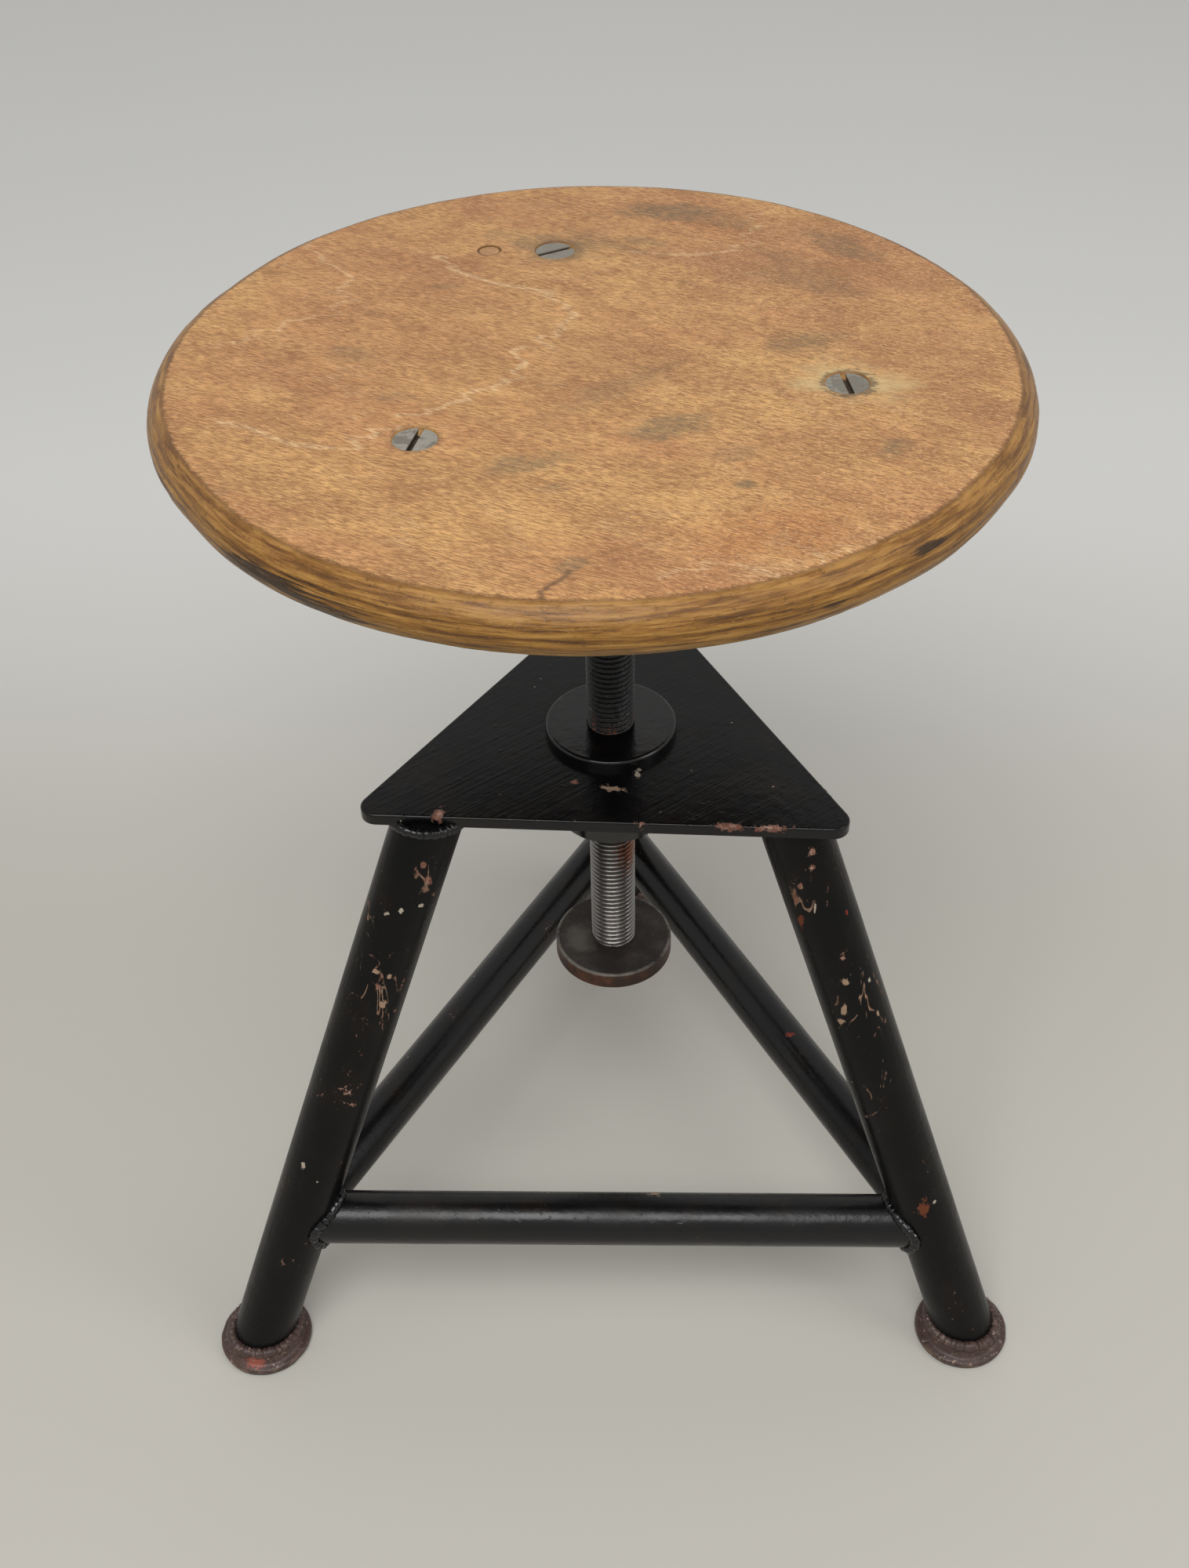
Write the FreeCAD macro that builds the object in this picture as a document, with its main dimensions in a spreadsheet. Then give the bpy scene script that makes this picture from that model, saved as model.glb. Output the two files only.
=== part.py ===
"""Machinist stool: a round plywood seat on a threaded spindle, in a welded three-legged tube frame.

Millimetres, +Z up, floor at z = 0. The origin is the middle of the stool's footprint on the floor.
The spindle stands axis_setback in front of it, and every piece is placed from that axis.
"""
import FreeCAD, Part
import os
import Sketcher

DIMENSIONS = [
    # the whole stool
    ("axis_setback", 38, "spindle axis in front of the origin"),
    ("seat_top_height", 556, "seat face above the floor, as photographed"),
    ("plate_top_height", 352, "top of the base plate above the floor"),
    ("stop_disc_height", 196, "underside of the stop disc above the floor, as photographed"),
    # seat board
    ("seat_radius", 186, "radius of the round board"),
    ("seat_thickness", 24, "thickness of the plywood"),
    ("seat_edge_round", 10, "rounding of the board's upper and lower edge"),
    ("seat_shift_x", -6, "board centre from the spindle axis, sideways"),
    ("seat_shift_y", -3, "board centre from the spindle axis, front to back"),
    ("plug_circle_radius", 114, "filled hole to spindle axis"),
    ("plug_angle", 119, "direction of the filled hole"),
    ("plug_radius", 5, "radius of the plug in the filled hole"),
    ("plug_depth", 12, "length of the plug"),
    ("plug_sink", 0.4, "plug face below the seat face"),
    # seat screws, washers and nuts
    ("screw_circle_radius", 102.5, "seat screws to spindle axis"),
    ("first_screw_angle", -16, "direction of the right-hand screw"),
    ("screw_shank_radius", 5, "radius of the shank"),
    ("screw_head_radius", 9, "radius of the countersunk head"),
    ("screw_head_sink", 0.5, "top of the head below the seat face"),
    ("screw_hole_clearance", 0.25, "gap between shank and hole"),
    ("screw_end_length", 3, "shank that stands out of the nut"),
    ("slot_width", 2.5, "width of the driver slot"),
    ("slot_depth", 2.2, "depth of the driver slot"),
    ("slot_angle_right", 114, "slot from the radial line, right-hand screw"),
    ("slot_angle_back", 105, "slot from the radial line, back screw"),
    ("slot_angle_left", 34, "slot from the radial line, left-hand screw"),
    ("washer_radius", 11, "outer radius of the washers"),
    ("washer_thickness", 2, "thickness of the washers"),
    ("nut_flats", 17, "across flats of the nuts"),
    ("nut_height", 8, "height of the nuts"),
    # seat plate and hub
    ("seat_plate_thickness", 5, "steel plate under the board"),
    ("seat_plate_corner", 17, "corner radius of the seat plate, round each screw"),
    ("hub_radius", 21, "outer radius of the hub under the seat plate"),
    ("hub_height", 18, "height of the hub"),
    ("hub_pin_radius", 3, "radius of the pin through hub and spindle"),
    ("hub_pin_end", 1.5, "pin that stands out of the hub on each side"),
    # spindle
    ("spindle_radius", 11.8, "crest radius of the thread"),
    ("spindle_chamfer", 1.5, "chamfer at each end of the thread"),
    ("spigot_radius", 8, "turned-down end that carries the stop disc"),
    ("running_clearance", 0.08, "radial gap of each running fit"),
    ("stop_disc_play", 0.3, "gap between the spindle's shoulder and the stop disc"),
    # flanged nut
    ("flange_radius", 32.5, "flange of the spindle nut, on the base plate"),
    ("flange_thickness", 5, "thickness of the flange"),
    ("flange_round", 1.8, "rounding of the flange's upper edge"),
    ("nut_body_radius", 28, "body of the spindle nut, through the base plate"),
    ("nut_body_length", 53, "body below the top of the base plate"),
    ("nut_body_chamfer", 1, "chamfer at the body's lower end"),
    ("thread_fit", 0.05, "gap where the nut or the spindle is screwed or set in for good"),
    # stop disc and its keeper
    ("stop_disc_radius", 31.5, "radius of the stop disc"),
    ("stop_disc_thickness", 10, "thickness of the stop disc"),
    ("stop_disc_round", 1.2, "rounding of the stop disc's edges"),
    ("keeper_washer_radius", 15, "washer under the stop disc"),
    ("keeper_washer_thickness", 2.5, "thickness of that washer"),
    ("keeper_screw_radius", 5, "screw up into the spindle's end"),
    ("keeper_screw_depth", 22, "screw inside the spindle"),
    ("keeper_head_flats", 16, "across flats of the keeper screw's head"),
    ("keeper_head_height", 6.4, "height of the keeper screw's head"),
    # base plate
    ("plate_thickness", 6, "thickness of the base plate"),
    ("plate_corner", 8, "corner radius of the base plate"),
    ("plate_edge_round", 1.2, "rounding of the upper edge"),
    ("plate_circumradius", 139.7, "spindle axis to the plate's corners before they are rounded"),
    ("plate_twist", -2.7, "turn of the plate against the legs"),
    # legs, stretchers and feet
    ("leg_radius", 16.85, "outer radius of the leg tubes"),
    ("leg_wall", 3.2, "wall of the leg tubes"),
    ("front_stretcher_radius", 14.3, "outer radius of the front stretcher"),
    ("side_stretcher_radius", 13.45, "outer radius of the other stretchers"),
    ("stretcher_wall", 2.6, "wall of the stretcher tubes"),
    ("foot_radius", 25.8, "radius of the foot discs"),
    ("foot_thickness", 10, "foot under the leg"),
    ("foot_boss_radius", 21.6, "raised middle of a foot, at its top"),
    ("foot_boss_draft", 0.8, "how much wider the raised middle is at its lower end"),
    ("foot_flange", 4.8, "thickness of the foot's flange"),
    ("foot_chamfer", 1.1, "chamfer of the flange's edges"),
    ("front_left_angle", 211.5, "direction of the front left leg"),
    ("front_left_spread", 234.8, "front left foot to spindle axis"),
    ("front_left_top", 99.5, "front left leg to spindle axis under the plate"),
    ("front_left_joint", 92, "stretchers above the floor at the front left leg"),
    ("front_right_angle", 329.8, "direction of the front right leg"),
    ("front_right_spread", 229, "front right foot to spindle axis"),
    ("front_right_top", 97.5, "front right leg to spindle axis under the plate"),
    ("front_right_joint", 84, "stretchers above the floor at the front right leg"),
    ("rear_angle", 90, "direction of the rear leg"),
    ("rear_spread", 239.2, "rear foot to spindle axis"),
    ("rear_top", 98, "rear leg to spindle axis under the plate"),
    ("rear_joint", 97, "stretchers above the floor at the rear leg"),
    # welds
    ("weld_size", 3.5, "leg length of every weld bead"),
    # limits
    ("round_limit", 0.45, "most of a thickness that one rounded edge may take"),
]

LEGS = ["front_left", "front_right", "rear"]
STRETCHERS = {
    "stretcher_front": ("front_left", "front_right"),
    "stretcher_left": ("rear", "front_left"),
    "stretcher_right": ("front_right", "rear"),
}
STRETCHER_RADIUS = {
    "stretcher_front": "Dims.front_stretcher_radius",
    "stretcher_left": "Dims.side_stretcher_radius",
    "stretcher_right": "Dims.side_stretcher_radius",
}
SCREWS = ["right", "back", "left"]

FULL_TURN = 360
COUNTERSINK_ANGLE = 90
TOLERANCE = 1e-4

doc = FreeCAD.newDocument("machinist_stool")
sheet = doc.addObject("Spreadsheet::Sheet", "Dims")
for row, (alias, size, meaning) in enumerate(DIMENSIONS, start=1):
    sheet.set(f"A{row}", str(size))
    sheet.set(f"B{row}", meaning)
    sheet.setAlias(f"A{row}", alias)
doc.recompute()

AXIS_Y = "-Dims.axis_setback"
PLATE_UNDER = "(Dims.plate_top_height - Dims.plate_thickness)"
SEAT_UNDER = "(Dims.seat_top_height - Dims.seat_thickness)"
SEAT_PLATE_UNDER = f"({SEAT_UNDER} - Dims.seat_plate_thickness)"
SEAT_PLATE_CIRCUMRADIUS = "(Dims.screw_circle_radius + 2 * Dims.seat_plate_corner)"
DISC_TOP = "(Dims.stop_disc_height + Dims.stop_disc_thickness)"
SPINDLE_SHOULDER = f"({DISC_TOP} + Dims.stop_disc_play)"
SCREW_HOLE_RADIUS = "(Dims.screw_shank_radius + Dims.screw_hole_clearance)"
NUT_BORE_RADIUS = "(Dims.spindle_radius + Dims.running_clearance)"

nodes = []


def value(expression):
    """The number that an expression of the sheet's cells stands for."""
    return float(sheet.evalExpression(expression))


def node(label, piece):
    """Give a finished piece its name, and list it for export."""
    piece.Label = label
    nodes.append(piece)
    return piece


def place(piece, x="0", y="0", z="0", yaw="0", pitch="0"):
    """Put a piece at a point measured from the spindle axis, turned by yaw about Z after pitch about Y."""
    base = f"vector({x}; {y} + {AXIS_Y}; {z})"
    piece.setExpression("Placement", f"placement({base}; rotation({yaw}; {pitch}; 0))")


def origin_feature(body, role):
    return next(feature for feature in body.Origin.OriginFeatures if feature.Role == role)


# Sketches and the features made from them


def new_sketch(body, name, plane, height=None):
    sketch = body.newObject("Sketcher::SketchObject", name)
    sketch.AttachmentSupport = [(origin_feature(body, plane), "")]
    sketch.MapMode = "FlatFace"
    if height:
        sketch.setExpression("AttachmentOffset.Base.z", height)
    return sketch


def bind(sketch, kind, *place_and_size):
    """Add a constraint whose size is an expression."""
    expression = place_and_size[-1]
    index = sketch.addConstraint(Sketcher.Constraint(kind, *place_and_size[:-1], value(expression)))
    sketch.setExpression(f"Constraints[{index}]", expression)


def circle_sketch(body, name, radius, centre=("0", "0"), height=None):
    sketch = new_sketch(body, name, "XY_Plane", height)
    middle = FreeCAD.Vector(value(centre[0]), value(centre[1]), 0)
    sketch.addGeometry(Part.Circle(middle, FreeCAD.Vector(0, 0, 1), value(radius)), False)
    bind(sketch, "Radius", 0, radius)
    if centre == ("0", "0"):
        sketch.addConstraint(Sketcher.Constraint("Coincident", 0, 3, -1, 1))
    else:
        bind(sketch, "DistanceX", -1, 1, 0, 3, centre[0])
        bind(sketch, "DistanceY", -1, 1, 0, 3, centre[1])
    return sketch


def outline_sketch(body, name, plane, points):
    """A closed outline of straight lines through points given as pairs of expressions."""
    sketch = new_sketch(body, name, plane)
    corners = [FreeCAD.Vector(value(x), value(y), 0) for x, y in points]
    for index, corner in enumerate(corners):
        sketch.addGeometry(Part.LineSegment(corner, corners[(index + 1) % len(corners)]), False)
    for index in range(len(corners)):
        sketch.addConstraint(Sketcher.Constraint("Coincident", index, 2, (index + 1) % len(corners), 1))
    for index, (x, y) in enumerate(points):
        bind(sketch, "DistanceX", -1, 1, index, 1, x)
        bind(sketch, "DistanceY", -1, 1, index, 1, y)
    return sketch


def pad(body, name, sketch, length):
    feature = body.newObject("PartDesign::Pad", name)
    feature.Profile = sketch
    feature.setExpression("Length", length)
    doc.recompute()
    return feature


def turned(body, name, points):
    """A turned piece: an outline of (radius, height) points revolved about the body's Z axis."""
    feature = body.newObject("PartDesign::Revolution", name)
    feature.Profile = outline_sketch(body, name + "_outline", "XZ_Plane", points)
    feature.ReferenceAxis = (origin_feature(body, "Z_Axis"), [""])
    feature.Angle = FULL_TURN
    doc.recompute()
    return feature


def drill(body, name, sketch, radius, countersink=None):
    """Holes right through, at the sketch's circles, with a countersink of that radius if it is given."""
    feature = body.newObject("PartDesign::Hole", name)
    feature.Profile = sketch
    doc.recompute()
    feature.DepthType = "ThroughAll"
    feature.setExpression("Diameter", f"2 * {radius}")
    doc.recompute()
    if countersink:
        feature.HoleCutType = "Countersink"
        feature.HoleCutCountersinkAngle = COUNTERSINK_ANGLE
        feature.setExpression("HoleCutDiameter", f"2 * {countersink}")
        doc.recompute()
    return feature


def at_each_screw(body, name, feature):
    """Repeat a feature for each seat screw, evenly round the body's Z axis."""
    pattern = body.newObject("PartDesign::PolarPattern", name)
    pattern.Originals = [feature]
    pattern.Axis = (origin_feature(body, "Z_Axis"), [""])
    pattern.Angle = FULL_TURN
    pattern.Occurrences = len(SCREWS)
    body.Tip = pattern
    doc.recompute()
    return pattern


def round_edges(body, name, base, edges, radius):
    feature = body.newObject("PartDesign::Fillet", name)
    feature.Base = (base, edges)
    feature.setExpression("Radius", radius)
    doc.recompute()
    return feature


def limited(edge_round, thickness):
    return f"min({edge_round}; Dims.round_limit * {thickness})"


def edges_where(feature, test):
    edges = feature.Shape.Edges
    return [f"Edge{number}" for number, edge in enumerate(edges, start=1) if test(edge)]


def is_upright(edge):
    box = edge.BoundBox
    return box.ZLength > TOLERANCE and box.XLength + box.YLength < TOLERANCE


def is_level_at(height):
    def test(edge):
        box = edge.BoundBox
        return box.ZLength < TOLERANCE and abs(box.ZMin - height) < TOLERANCE

    return test


def is_rim_at(radius, height):
    """The level circle of that radius, at that height."""
    level = is_level_at(height)

    def test(edge):
        round_edge = isinstance(edge.Curve, Part.Circle)
        return round_edge and level(edge) and abs(edge.Curve.Radius - radius) < TOLERANCE

    return test


def soften_rims(body, name, base, radius, thickness, edge_round):
    """Round the upper and the lower outer edge of a disc."""
    rims = edges_where(base, is_rim_at(value(radius), 0))
    rims += edges_where(base, is_rim_at(value(radius), value(thickness)))
    round_edges(body, name, base, rims, limited(edge_round, thickness))


def triangle_plate(name, circumradius, thickness, corner):
    """A flat triangle with rounded corners, one of them on the body's X axis."""
    body = doc.addObject("PartDesign::Body", name + "_body")
    half_side = f"({circumradius}) * sin(60)"
    foot = f"-({circumradius}) * cos(60)"
    points = [(circumradius, "0"), (foot, half_side), (foot, f"-({half_side})")]
    solid = pad(body, name + "_pad", outline_sketch(body, name + "_outline", "XY_Plane", points), thickness)
    upright = edges_where(solid, is_upright)
    round_edges(body, name + "_corners", solid, upright, corner)
    return body


# Plain solids


def cylinder(name, radius, height):
    solid = doc.addObject("Part::Cylinder", name)
    solid.setExpression("Radius", radius)
    solid.setExpression("Height", height)
    return solid


def cut(name, base, tool):
    result = doc.addObject("Part::Cut", name)
    result.Base = base
    result.Tool = tool
    return result


def common(name, *shapes):
    result = doc.addObject("Part::MultiCommon", name)
    result.Shapes = list(shapes)
    return result


def group(name, pieces):
    result = doc.addObject("Part::Compound", name)
    result.Links = pieces
    return result


def hexagon(name, across_flats, height):
    solid = doc.addObject("Part::Prism", name)
    solid.Polygon = 6
    solid.setExpression("Circumradius", f"{across_flats} / 2 / cos(30)")
    solid.setExpression("Height", height)
    return solid


# Seat board: a round plywood board with countersunk holes and one filled hole


def make_seat_board():
    body = doc.addObject("PartDesign::Body", "seat_board_body")
    centre = ("Dims.seat_shift_x", "Dims.seat_shift_y")
    disc = pad(body, "board_pad", circle_sketch(body, "board_circle", "Dims.seat_radius", centre),
               "Dims.seat_thickness")
    soften_rims(body, "board_rims", disc, "Dims.seat_radius", "Dims.seat_thickness", "Dims.seat_edge_round")
    x = "Dims.plug_circle_radius * cos(Dims.plug_angle)"
    y = "Dims.plug_circle_radius * sin(Dims.plug_angle)"
    old_hole = body.newObject("PartDesign::Pocket", "plug_hole")
    old_hole.Profile = circle_sketch(body, "plug_circle", "Dims.plug_radius", (x, y), "Dims.seat_thickness")
    old_hole.setExpression("Length", "Dims.plug_depth + Dims.plug_sink")
    doc.recompute()
    x = "Dims.screw_circle_radius * cos(Dims.first_screw_angle)"
    y = "Dims.screw_circle_radius * sin(Dims.first_screw_angle)"
    hole_circle = circle_sketch(body, "screw_hole_circle", SCREW_HOLE_RADIUS, (x, y), "Dims.seat_thickness")
    sink = "(Dims.screw_head_radius + Dims.screw_head_sink)"
    hole = drill(body, "screw_hole", hole_circle, SCREW_HOLE_RADIUS, sink)
    at_each_screw(body, "screw_holes", hole)
    place(body, z=SEAT_UNDER)
    node("seat_board", body)


def make_seat_plug():
    plug = cylinder("plug_cylinder", "Dims.plug_radius", "Dims.plug_depth")
    place(
        plug,
        x="Dims.plug_circle_radius * cos(Dims.plug_angle)",
        y="Dims.plug_circle_radius * sin(Dims.plug_angle)",
        z="Dims.seat_top_height - Dims.plug_sink - Dims.plug_depth",
    )
    node("seat_plug", plug)


# Seat fasteners: three slotted countersunk screws down through board and plate, with washers and nuts


def at_screws(name, make_one, z):
    """One copy of a fastener at each screw, all in one group."""
    pieces = []
    for index, side in enumerate(SCREWS):
        angle = f"(Dims.first_screw_angle + {index * FULL_TURN / len(SCREWS)})"
        piece = make_one(f"{name}_{side}", side)
        place(
            piece,
            x=f"Dims.screw_circle_radius * cos({angle})",
            y=f"Dims.screw_circle_radius * sin({angle})",
            z=z,
            yaw=angle,
        )
        pieces.append(piece)
    node(name, group(name + "_group", pieces))


SCREW_TOP = "(Dims.seat_top_height - Dims.screw_head_sink)"
WASHER_UNDER = f"({SEAT_PLATE_UNDER} - Dims.washer_thickness)"
SCREW_LENGTH = f"({SCREW_TOP} - {WASHER_UNDER} + Dims.nut_height + Dims.screw_end_length)"


def slotted_screw(name, side):
    """A screw with its head's top at z = 0."""
    body = doc.addObject("PartDesign::Body", name + "_turned")
    head_depth = "-(Dims.screw_head_radius - Dims.screw_shank_radius)"
    end = f"-{SCREW_LENGTH}"
    points = [
        ("0", "0"),
        ("Dims.screw_head_radius", "0"),
        ("Dims.screw_shank_radius", head_depth),
        ("Dims.screw_shank_radius", end),
        ("0", end),
    ]
    turned(body, name + "_shape", points)
    slot = doc.addObject("Part::Box", name + "_slot")
    half = "(Dims.screw_head_radius + Dims.slot_width)"
    slot.setExpression("Length", f"2 * {half}")
    slot.setExpression("Width", "Dims.slot_width")
    slot.setExpression("Height", "Dims.slot_depth")
    turn = f"Dims.slot_angle_{side}"
    corner_x = f"-{half} * cos({turn}) + Dims.slot_width / 2 * sin({turn})"
    corner_y = f"-{half} * sin({turn}) - Dims.slot_width / 2 * cos({turn})"
    corner = f"vector({corner_x}; {corner_y}; -Dims.slot_depth)"
    slot.setExpression("Placement", f"placement({corner}; rotation({turn}; 0; 0))")
    return cut(name, body, slot)


def flat_washer(name, side):
    ring = cylinder(name + "_outer", "Dims.washer_radius", "Dims.washer_thickness")
    return cut(name, ring, cylinder(name + "_bore", SCREW_HOLE_RADIUS, "Dims.washer_thickness"))


def hex_nut(name, side):
    block = hexagon(name + "_block", "Dims.nut_flats", "Dims.nut_height")
    bore = cylinder(name + "_bore", "Dims.screw_shank_radius + Dims.thread_fit", "Dims.nut_height")
    return cut(name, block, bore)


def make_seat_fasteners():
    at_screws("seat_screws", slotted_screw, SCREW_TOP)
    at_screws("seat_washers", flat_washer, WASHER_UNDER)
    at_screws("seat_nuts", hex_nut, f"{WASHER_UNDER} - Dims.nut_height")


# Seat plate, hub and pin: what joins the board to the spindle


def make_seat_plate():
    body = triangle_plate("seat_plate", SEAT_PLATE_CIRCUMRADIUS, "Dims.seat_plate_thickness",
                          "Dims.seat_plate_corner")
    hole_circle = circle_sketch(body, "seat_plate_hole_circle", SCREW_HOLE_RADIUS,
                                ("Dims.screw_circle_radius", "0"), "Dims.seat_plate_thickness")
    at_each_screw(body, "seat_plate_holes", drill(body, "seat_plate_hole", hole_circle, SCREW_HOLE_RADIUS))
    place(body, z=SEAT_PLATE_UNDER, yaw="Dims.first_screw_angle")
    node("seat_plate", body)


HUB_UNDER = f"({SEAT_PLATE_UNDER} - Dims.hub_height)"
HUB_PIN_LENGTH = "2 * (Dims.hub_radius + Dims.hub_pin_end)"


def hub_pin_solid(name):
    """The pin that crosses hub and spindle, halfway up the hub."""
    pin = cylinder(name, "Dims.hub_pin_radius", HUB_PIN_LENGTH)
    place(pin, x="-(Dims.hub_radius + Dims.hub_pin_end)", z=f"{HUB_UNDER} + Dims.hub_height / 2", pitch="90")
    return pin


def make_hub():
    ring = cylinder("hub_outer", "Dims.hub_radius", "Dims.hub_height")
    bore = cylinder("hub_bore", "Dims.spindle_radius + Dims.thread_fit", "Dims.hub_height")
    place(ring, z=HUB_UNDER)
    place(bore, z=HUB_UNDER)
    node("seat_hub", cut("seat_hub_cross_drilled", cut("hub_ring", ring, bore), hub_pin_solid("hub_drill")))
    node("hub_pin", hub_pin_solid("hub_pin_cylinder"))


def ring_bead(label, radius, z):
    """A weld bead round a cylinder of that radius, in the corner under a plate at the height z."""
    bead = doc.addObject("PartDesign::Body", label + "_body")
    points = [(radius, "0"), (f"({radius} + Dims.weld_size)", "0"), (radius, "-Dims.weld_size")]
    turned(bead, label + "_shape", points)
    place(bead, z=z)
    node(label, bead)


# Spindle: the long screw, turned down at its lower end for the stop disc


def make_spindle():
    body = doc.addObject("PartDesign::Body", "spindle_body")
    spigot = "(Dims.stop_disc_thickness + Dims.stop_disc_play)"
    length = f"({SEAT_PLATE_UNDER} - {SPINDLE_SHOULDER} + {spigot})"
    narrow = "(Dims.spindle_radius - Dims.spindle_chamfer)"
    points = [
        ("0", "0"),
        ("Dims.spigot_radius", "0"),
        ("Dims.spigot_radius", spigot),
        (narrow, spigot),
        ("Dims.spindle_radius", f"({spigot} + Dims.spindle_chamfer)"),
        ("Dims.spindle_radius", f"({length} - Dims.spindle_chamfer)"),
        (narrow, length),
        ("0", length),
    ]
    turned(body, "spindle_shape", points)
    tapped_hole = body.newObject("PartDesign::Pocket", "keeper_hole")
    tapped_hole.Profile = circle_sketch(body, "keeper_circle", "Dims.keeper_screw_radius + Dims.thread_fit")
    tapped_hole.Reversed = True
    tapped_hole.setExpression("Length", "Dims.keeper_screw_depth + Dims.stop_disc_play")
    doc.recompute()
    place(body, z="Dims.stop_disc_height")
    node("spindle", cut("spindle_cross_drilled", body, hub_pin_solid("spindle_drill")))


# Stop disc, loose on the spigot, and the washer and screw that keep it there


def make_stop():
    body = doc.addObject("PartDesign::Body", "stop_disc_body")
    disc = pad(body, "stop_disc_pad", circle_sketch(body, "stop_disc_circle", "Dims.stop_disc_radius"),
               "Dims.stop_disc_thickness")
    bore = drill(body, "stop_disc_bore",
                 circle_sketch(body, "stop_bore_circle", "Dims.spigot_radius + Dims.running_clearance",
                               height="Dims.stop_disc_thickness"),
                 "(Dims.spigot_radius + Dims.running_clearance)")
    soften_rims(body, "stop_disc_rims", bore, "Dims.stop_disc_radius", "Dims.stop_disc_thickness",
                "Dims.stop_disc_round")
    place(body, z="Dims.stop_disc_height")
    node("stop_disc", body)


WASHER_BOTTOM = "(Dims.stop_disc_height - Dims.keeper_washer_thickness)"


def make_keeper():
    ring = cylinder("keeper_washer_outer", "Dims.keeper_washer_radius", "Dims.keeper_washer_thickness")
    bore = cylinder("keeper_washer_bore", "Dims.keeper_screw_radius + Dims.screw_hole_clearance",
                    "Dims.keeper_washer_thickness")
    washer = cut("keeper_washer_ring", ring, bore)
    place(washer, z=WASHER_BOTTOM)
    node("keeper_washer", washer)
    head = hexagon("keeper_head", "Dims.keeper_head_flats", "Dims.keeper_head_height")
    shank = cylinder("keeper_shank", "Dims.keeper_screw_radius",
                     "Dims.keeper_head_height + Dims.keeper_washer_thickness + Dims.keeper_screw_depth")
    screw = doc.addObject("Part::Fuse", "keeper_screw_solid")
    screw.Base = head
    screw.Tool = shank
    place(screw, z=f"{WASHER_BOTTOM} - Dims.keeper_head_height")
    node("keeper_screw", screw)


# Base plate and the flanged nut that the spindle turns in


def make_base_plate():
    body = triangle_plate("base_plate", "Dims.plate_circumradius", "Dims.plate_thickness", "Dims.plate_corner")
    hole_radius = "(Dims.nut_body_radius + Dims.thread_fit)"
    hole = drill(body, "base_plate_hole",
                 circle_sketch(body, "base_plate_hole_circle", hole_radius, height="Dims.plate_thickness"),
                 hole_radius)
    top_edges = edges_where(hole, is_level_at(value("Dims.plate_thickness")))
    hole_rim = edges_where(hole, is_rim_at(value(hole_radius), value("Dims.plate_thickness")))
    outline = [edge for edge in top_edges if edge not in hole_rim]
    round_edges(body, "base_plate_rim", hole, outline, limited("Dims.plate_edge_round", "Dims.plate_thickness"))
    place(body, z=PLATE_UNDER, yaw="Dims.rear_angle + Dims.plate_twist")
    node("base_plate", body)


def make_spindle_nut():
    body = doc.addObject("PartDesign::Body", "spindle_nut_body")
    full_height = "(Dims.nut_body_length + Dims.flange_thickness)"
    points = [
        (NUT_BORE_RADIUS, "0"),
        ("(Dims.nut_body_radius - Dims.nut_body_chamfer)", "0"),
        ("Dims.nut_body_radius", "Dims.nut_body_chamfer"),
        ("Dims.nut_body_radius", "Dims.nut_body_length"),
        ("Dims.flange_radius", "Dims.nut_body_length"),
        ("Dims.flange_radius", full_height),
        (NUT_BORE_RADIUS, full_height),
    ]
    shape = turned(body, "spindle_nut_shape", points)
    rim = edges_where(shape, is_rim_at(value("Dims.flange_radius"), value(full_height)))
    round_edges(body, "flange_rim", shape, rim, limited("Dims.flange_round", "Dims.flange_thickness"))
    place(body, z="Dims.plate_top_height - Dims.nut_body_length")
    node("spindle_nut", body)


# Legs, feet and stretchers. Each leg lies in an upright plane through the spindle axis.

LEG_RISE = f"({PLATE_UNDER} - Dims.foot_thickness)"
TRIM_SIZE = "4 * Dims.leg_radius"


def leg_lean(leg):
    """The angle of a leg from the upright."""
    return f"atan2(Dims.{leg}_spread - Dims.{leg}_top; {LEG_RISE})"


def leg_cylinder(name, leg, radius):
    """A cylinder on a leg's axis, which runs past both of its ends."""
    length = f"{LEG_RISE} / cos({leg_lean(leg)})"
    over = TRIM_SIZE
    solid = cylinder(name, radius, f"{length} + 2 * {over}")
    start = f"(Dims.{leg}_spread + {over} * sin({leg_lean(leg)}))"
    place(
        solid,
        x=f"{start} * cos(Dims.{leg}_angle)",
        y=f"{start} * sin(Dims.{leg}_angle)",
        z=f"Dims.foot_thickness - {over} * cos({leg_lean(leg)})",
        yaw=f"Dims.{leg}_angle",
        pitch=f"-{leg_lean(leg)}",
    )
    return solid


def level_slab(name, low, high):
    """A level slab that covers the whole frame between two heights."""
    half = "(Dims.front_left_spread + Dims.front_right_spread + Dims.rear_spread)"
    slab = doc.addObject("Part::Box", name)
    slab.setExpression("Length", f"2 * {half}")
    slab.setExpression("Width", f"2 * {half}")
    slab.setExpression("Height", f"{high} - {low}")
    place(slab, x=f"-{half}", y=f"-{half}", z=low)
    return slab


def make_legs():
    span = level_slab("leg_span", "Dims.foot_thickness", PLATE_UNDER)
    for leg in LEGS:
        bore = leg_cylinder(f"leg_{leg}_bore", leg, "Dims.leg_radius - Dims.leg_wall")
        tube = cut(f"leg_{leg}_tube", leg_cylinder(f"leg_{leg}_outer", leg, "Dims.leg_radius"), bore)
        node(f"leg_{leg}", common(f"leg_{leg}_trimmed", tube, span))


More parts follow.
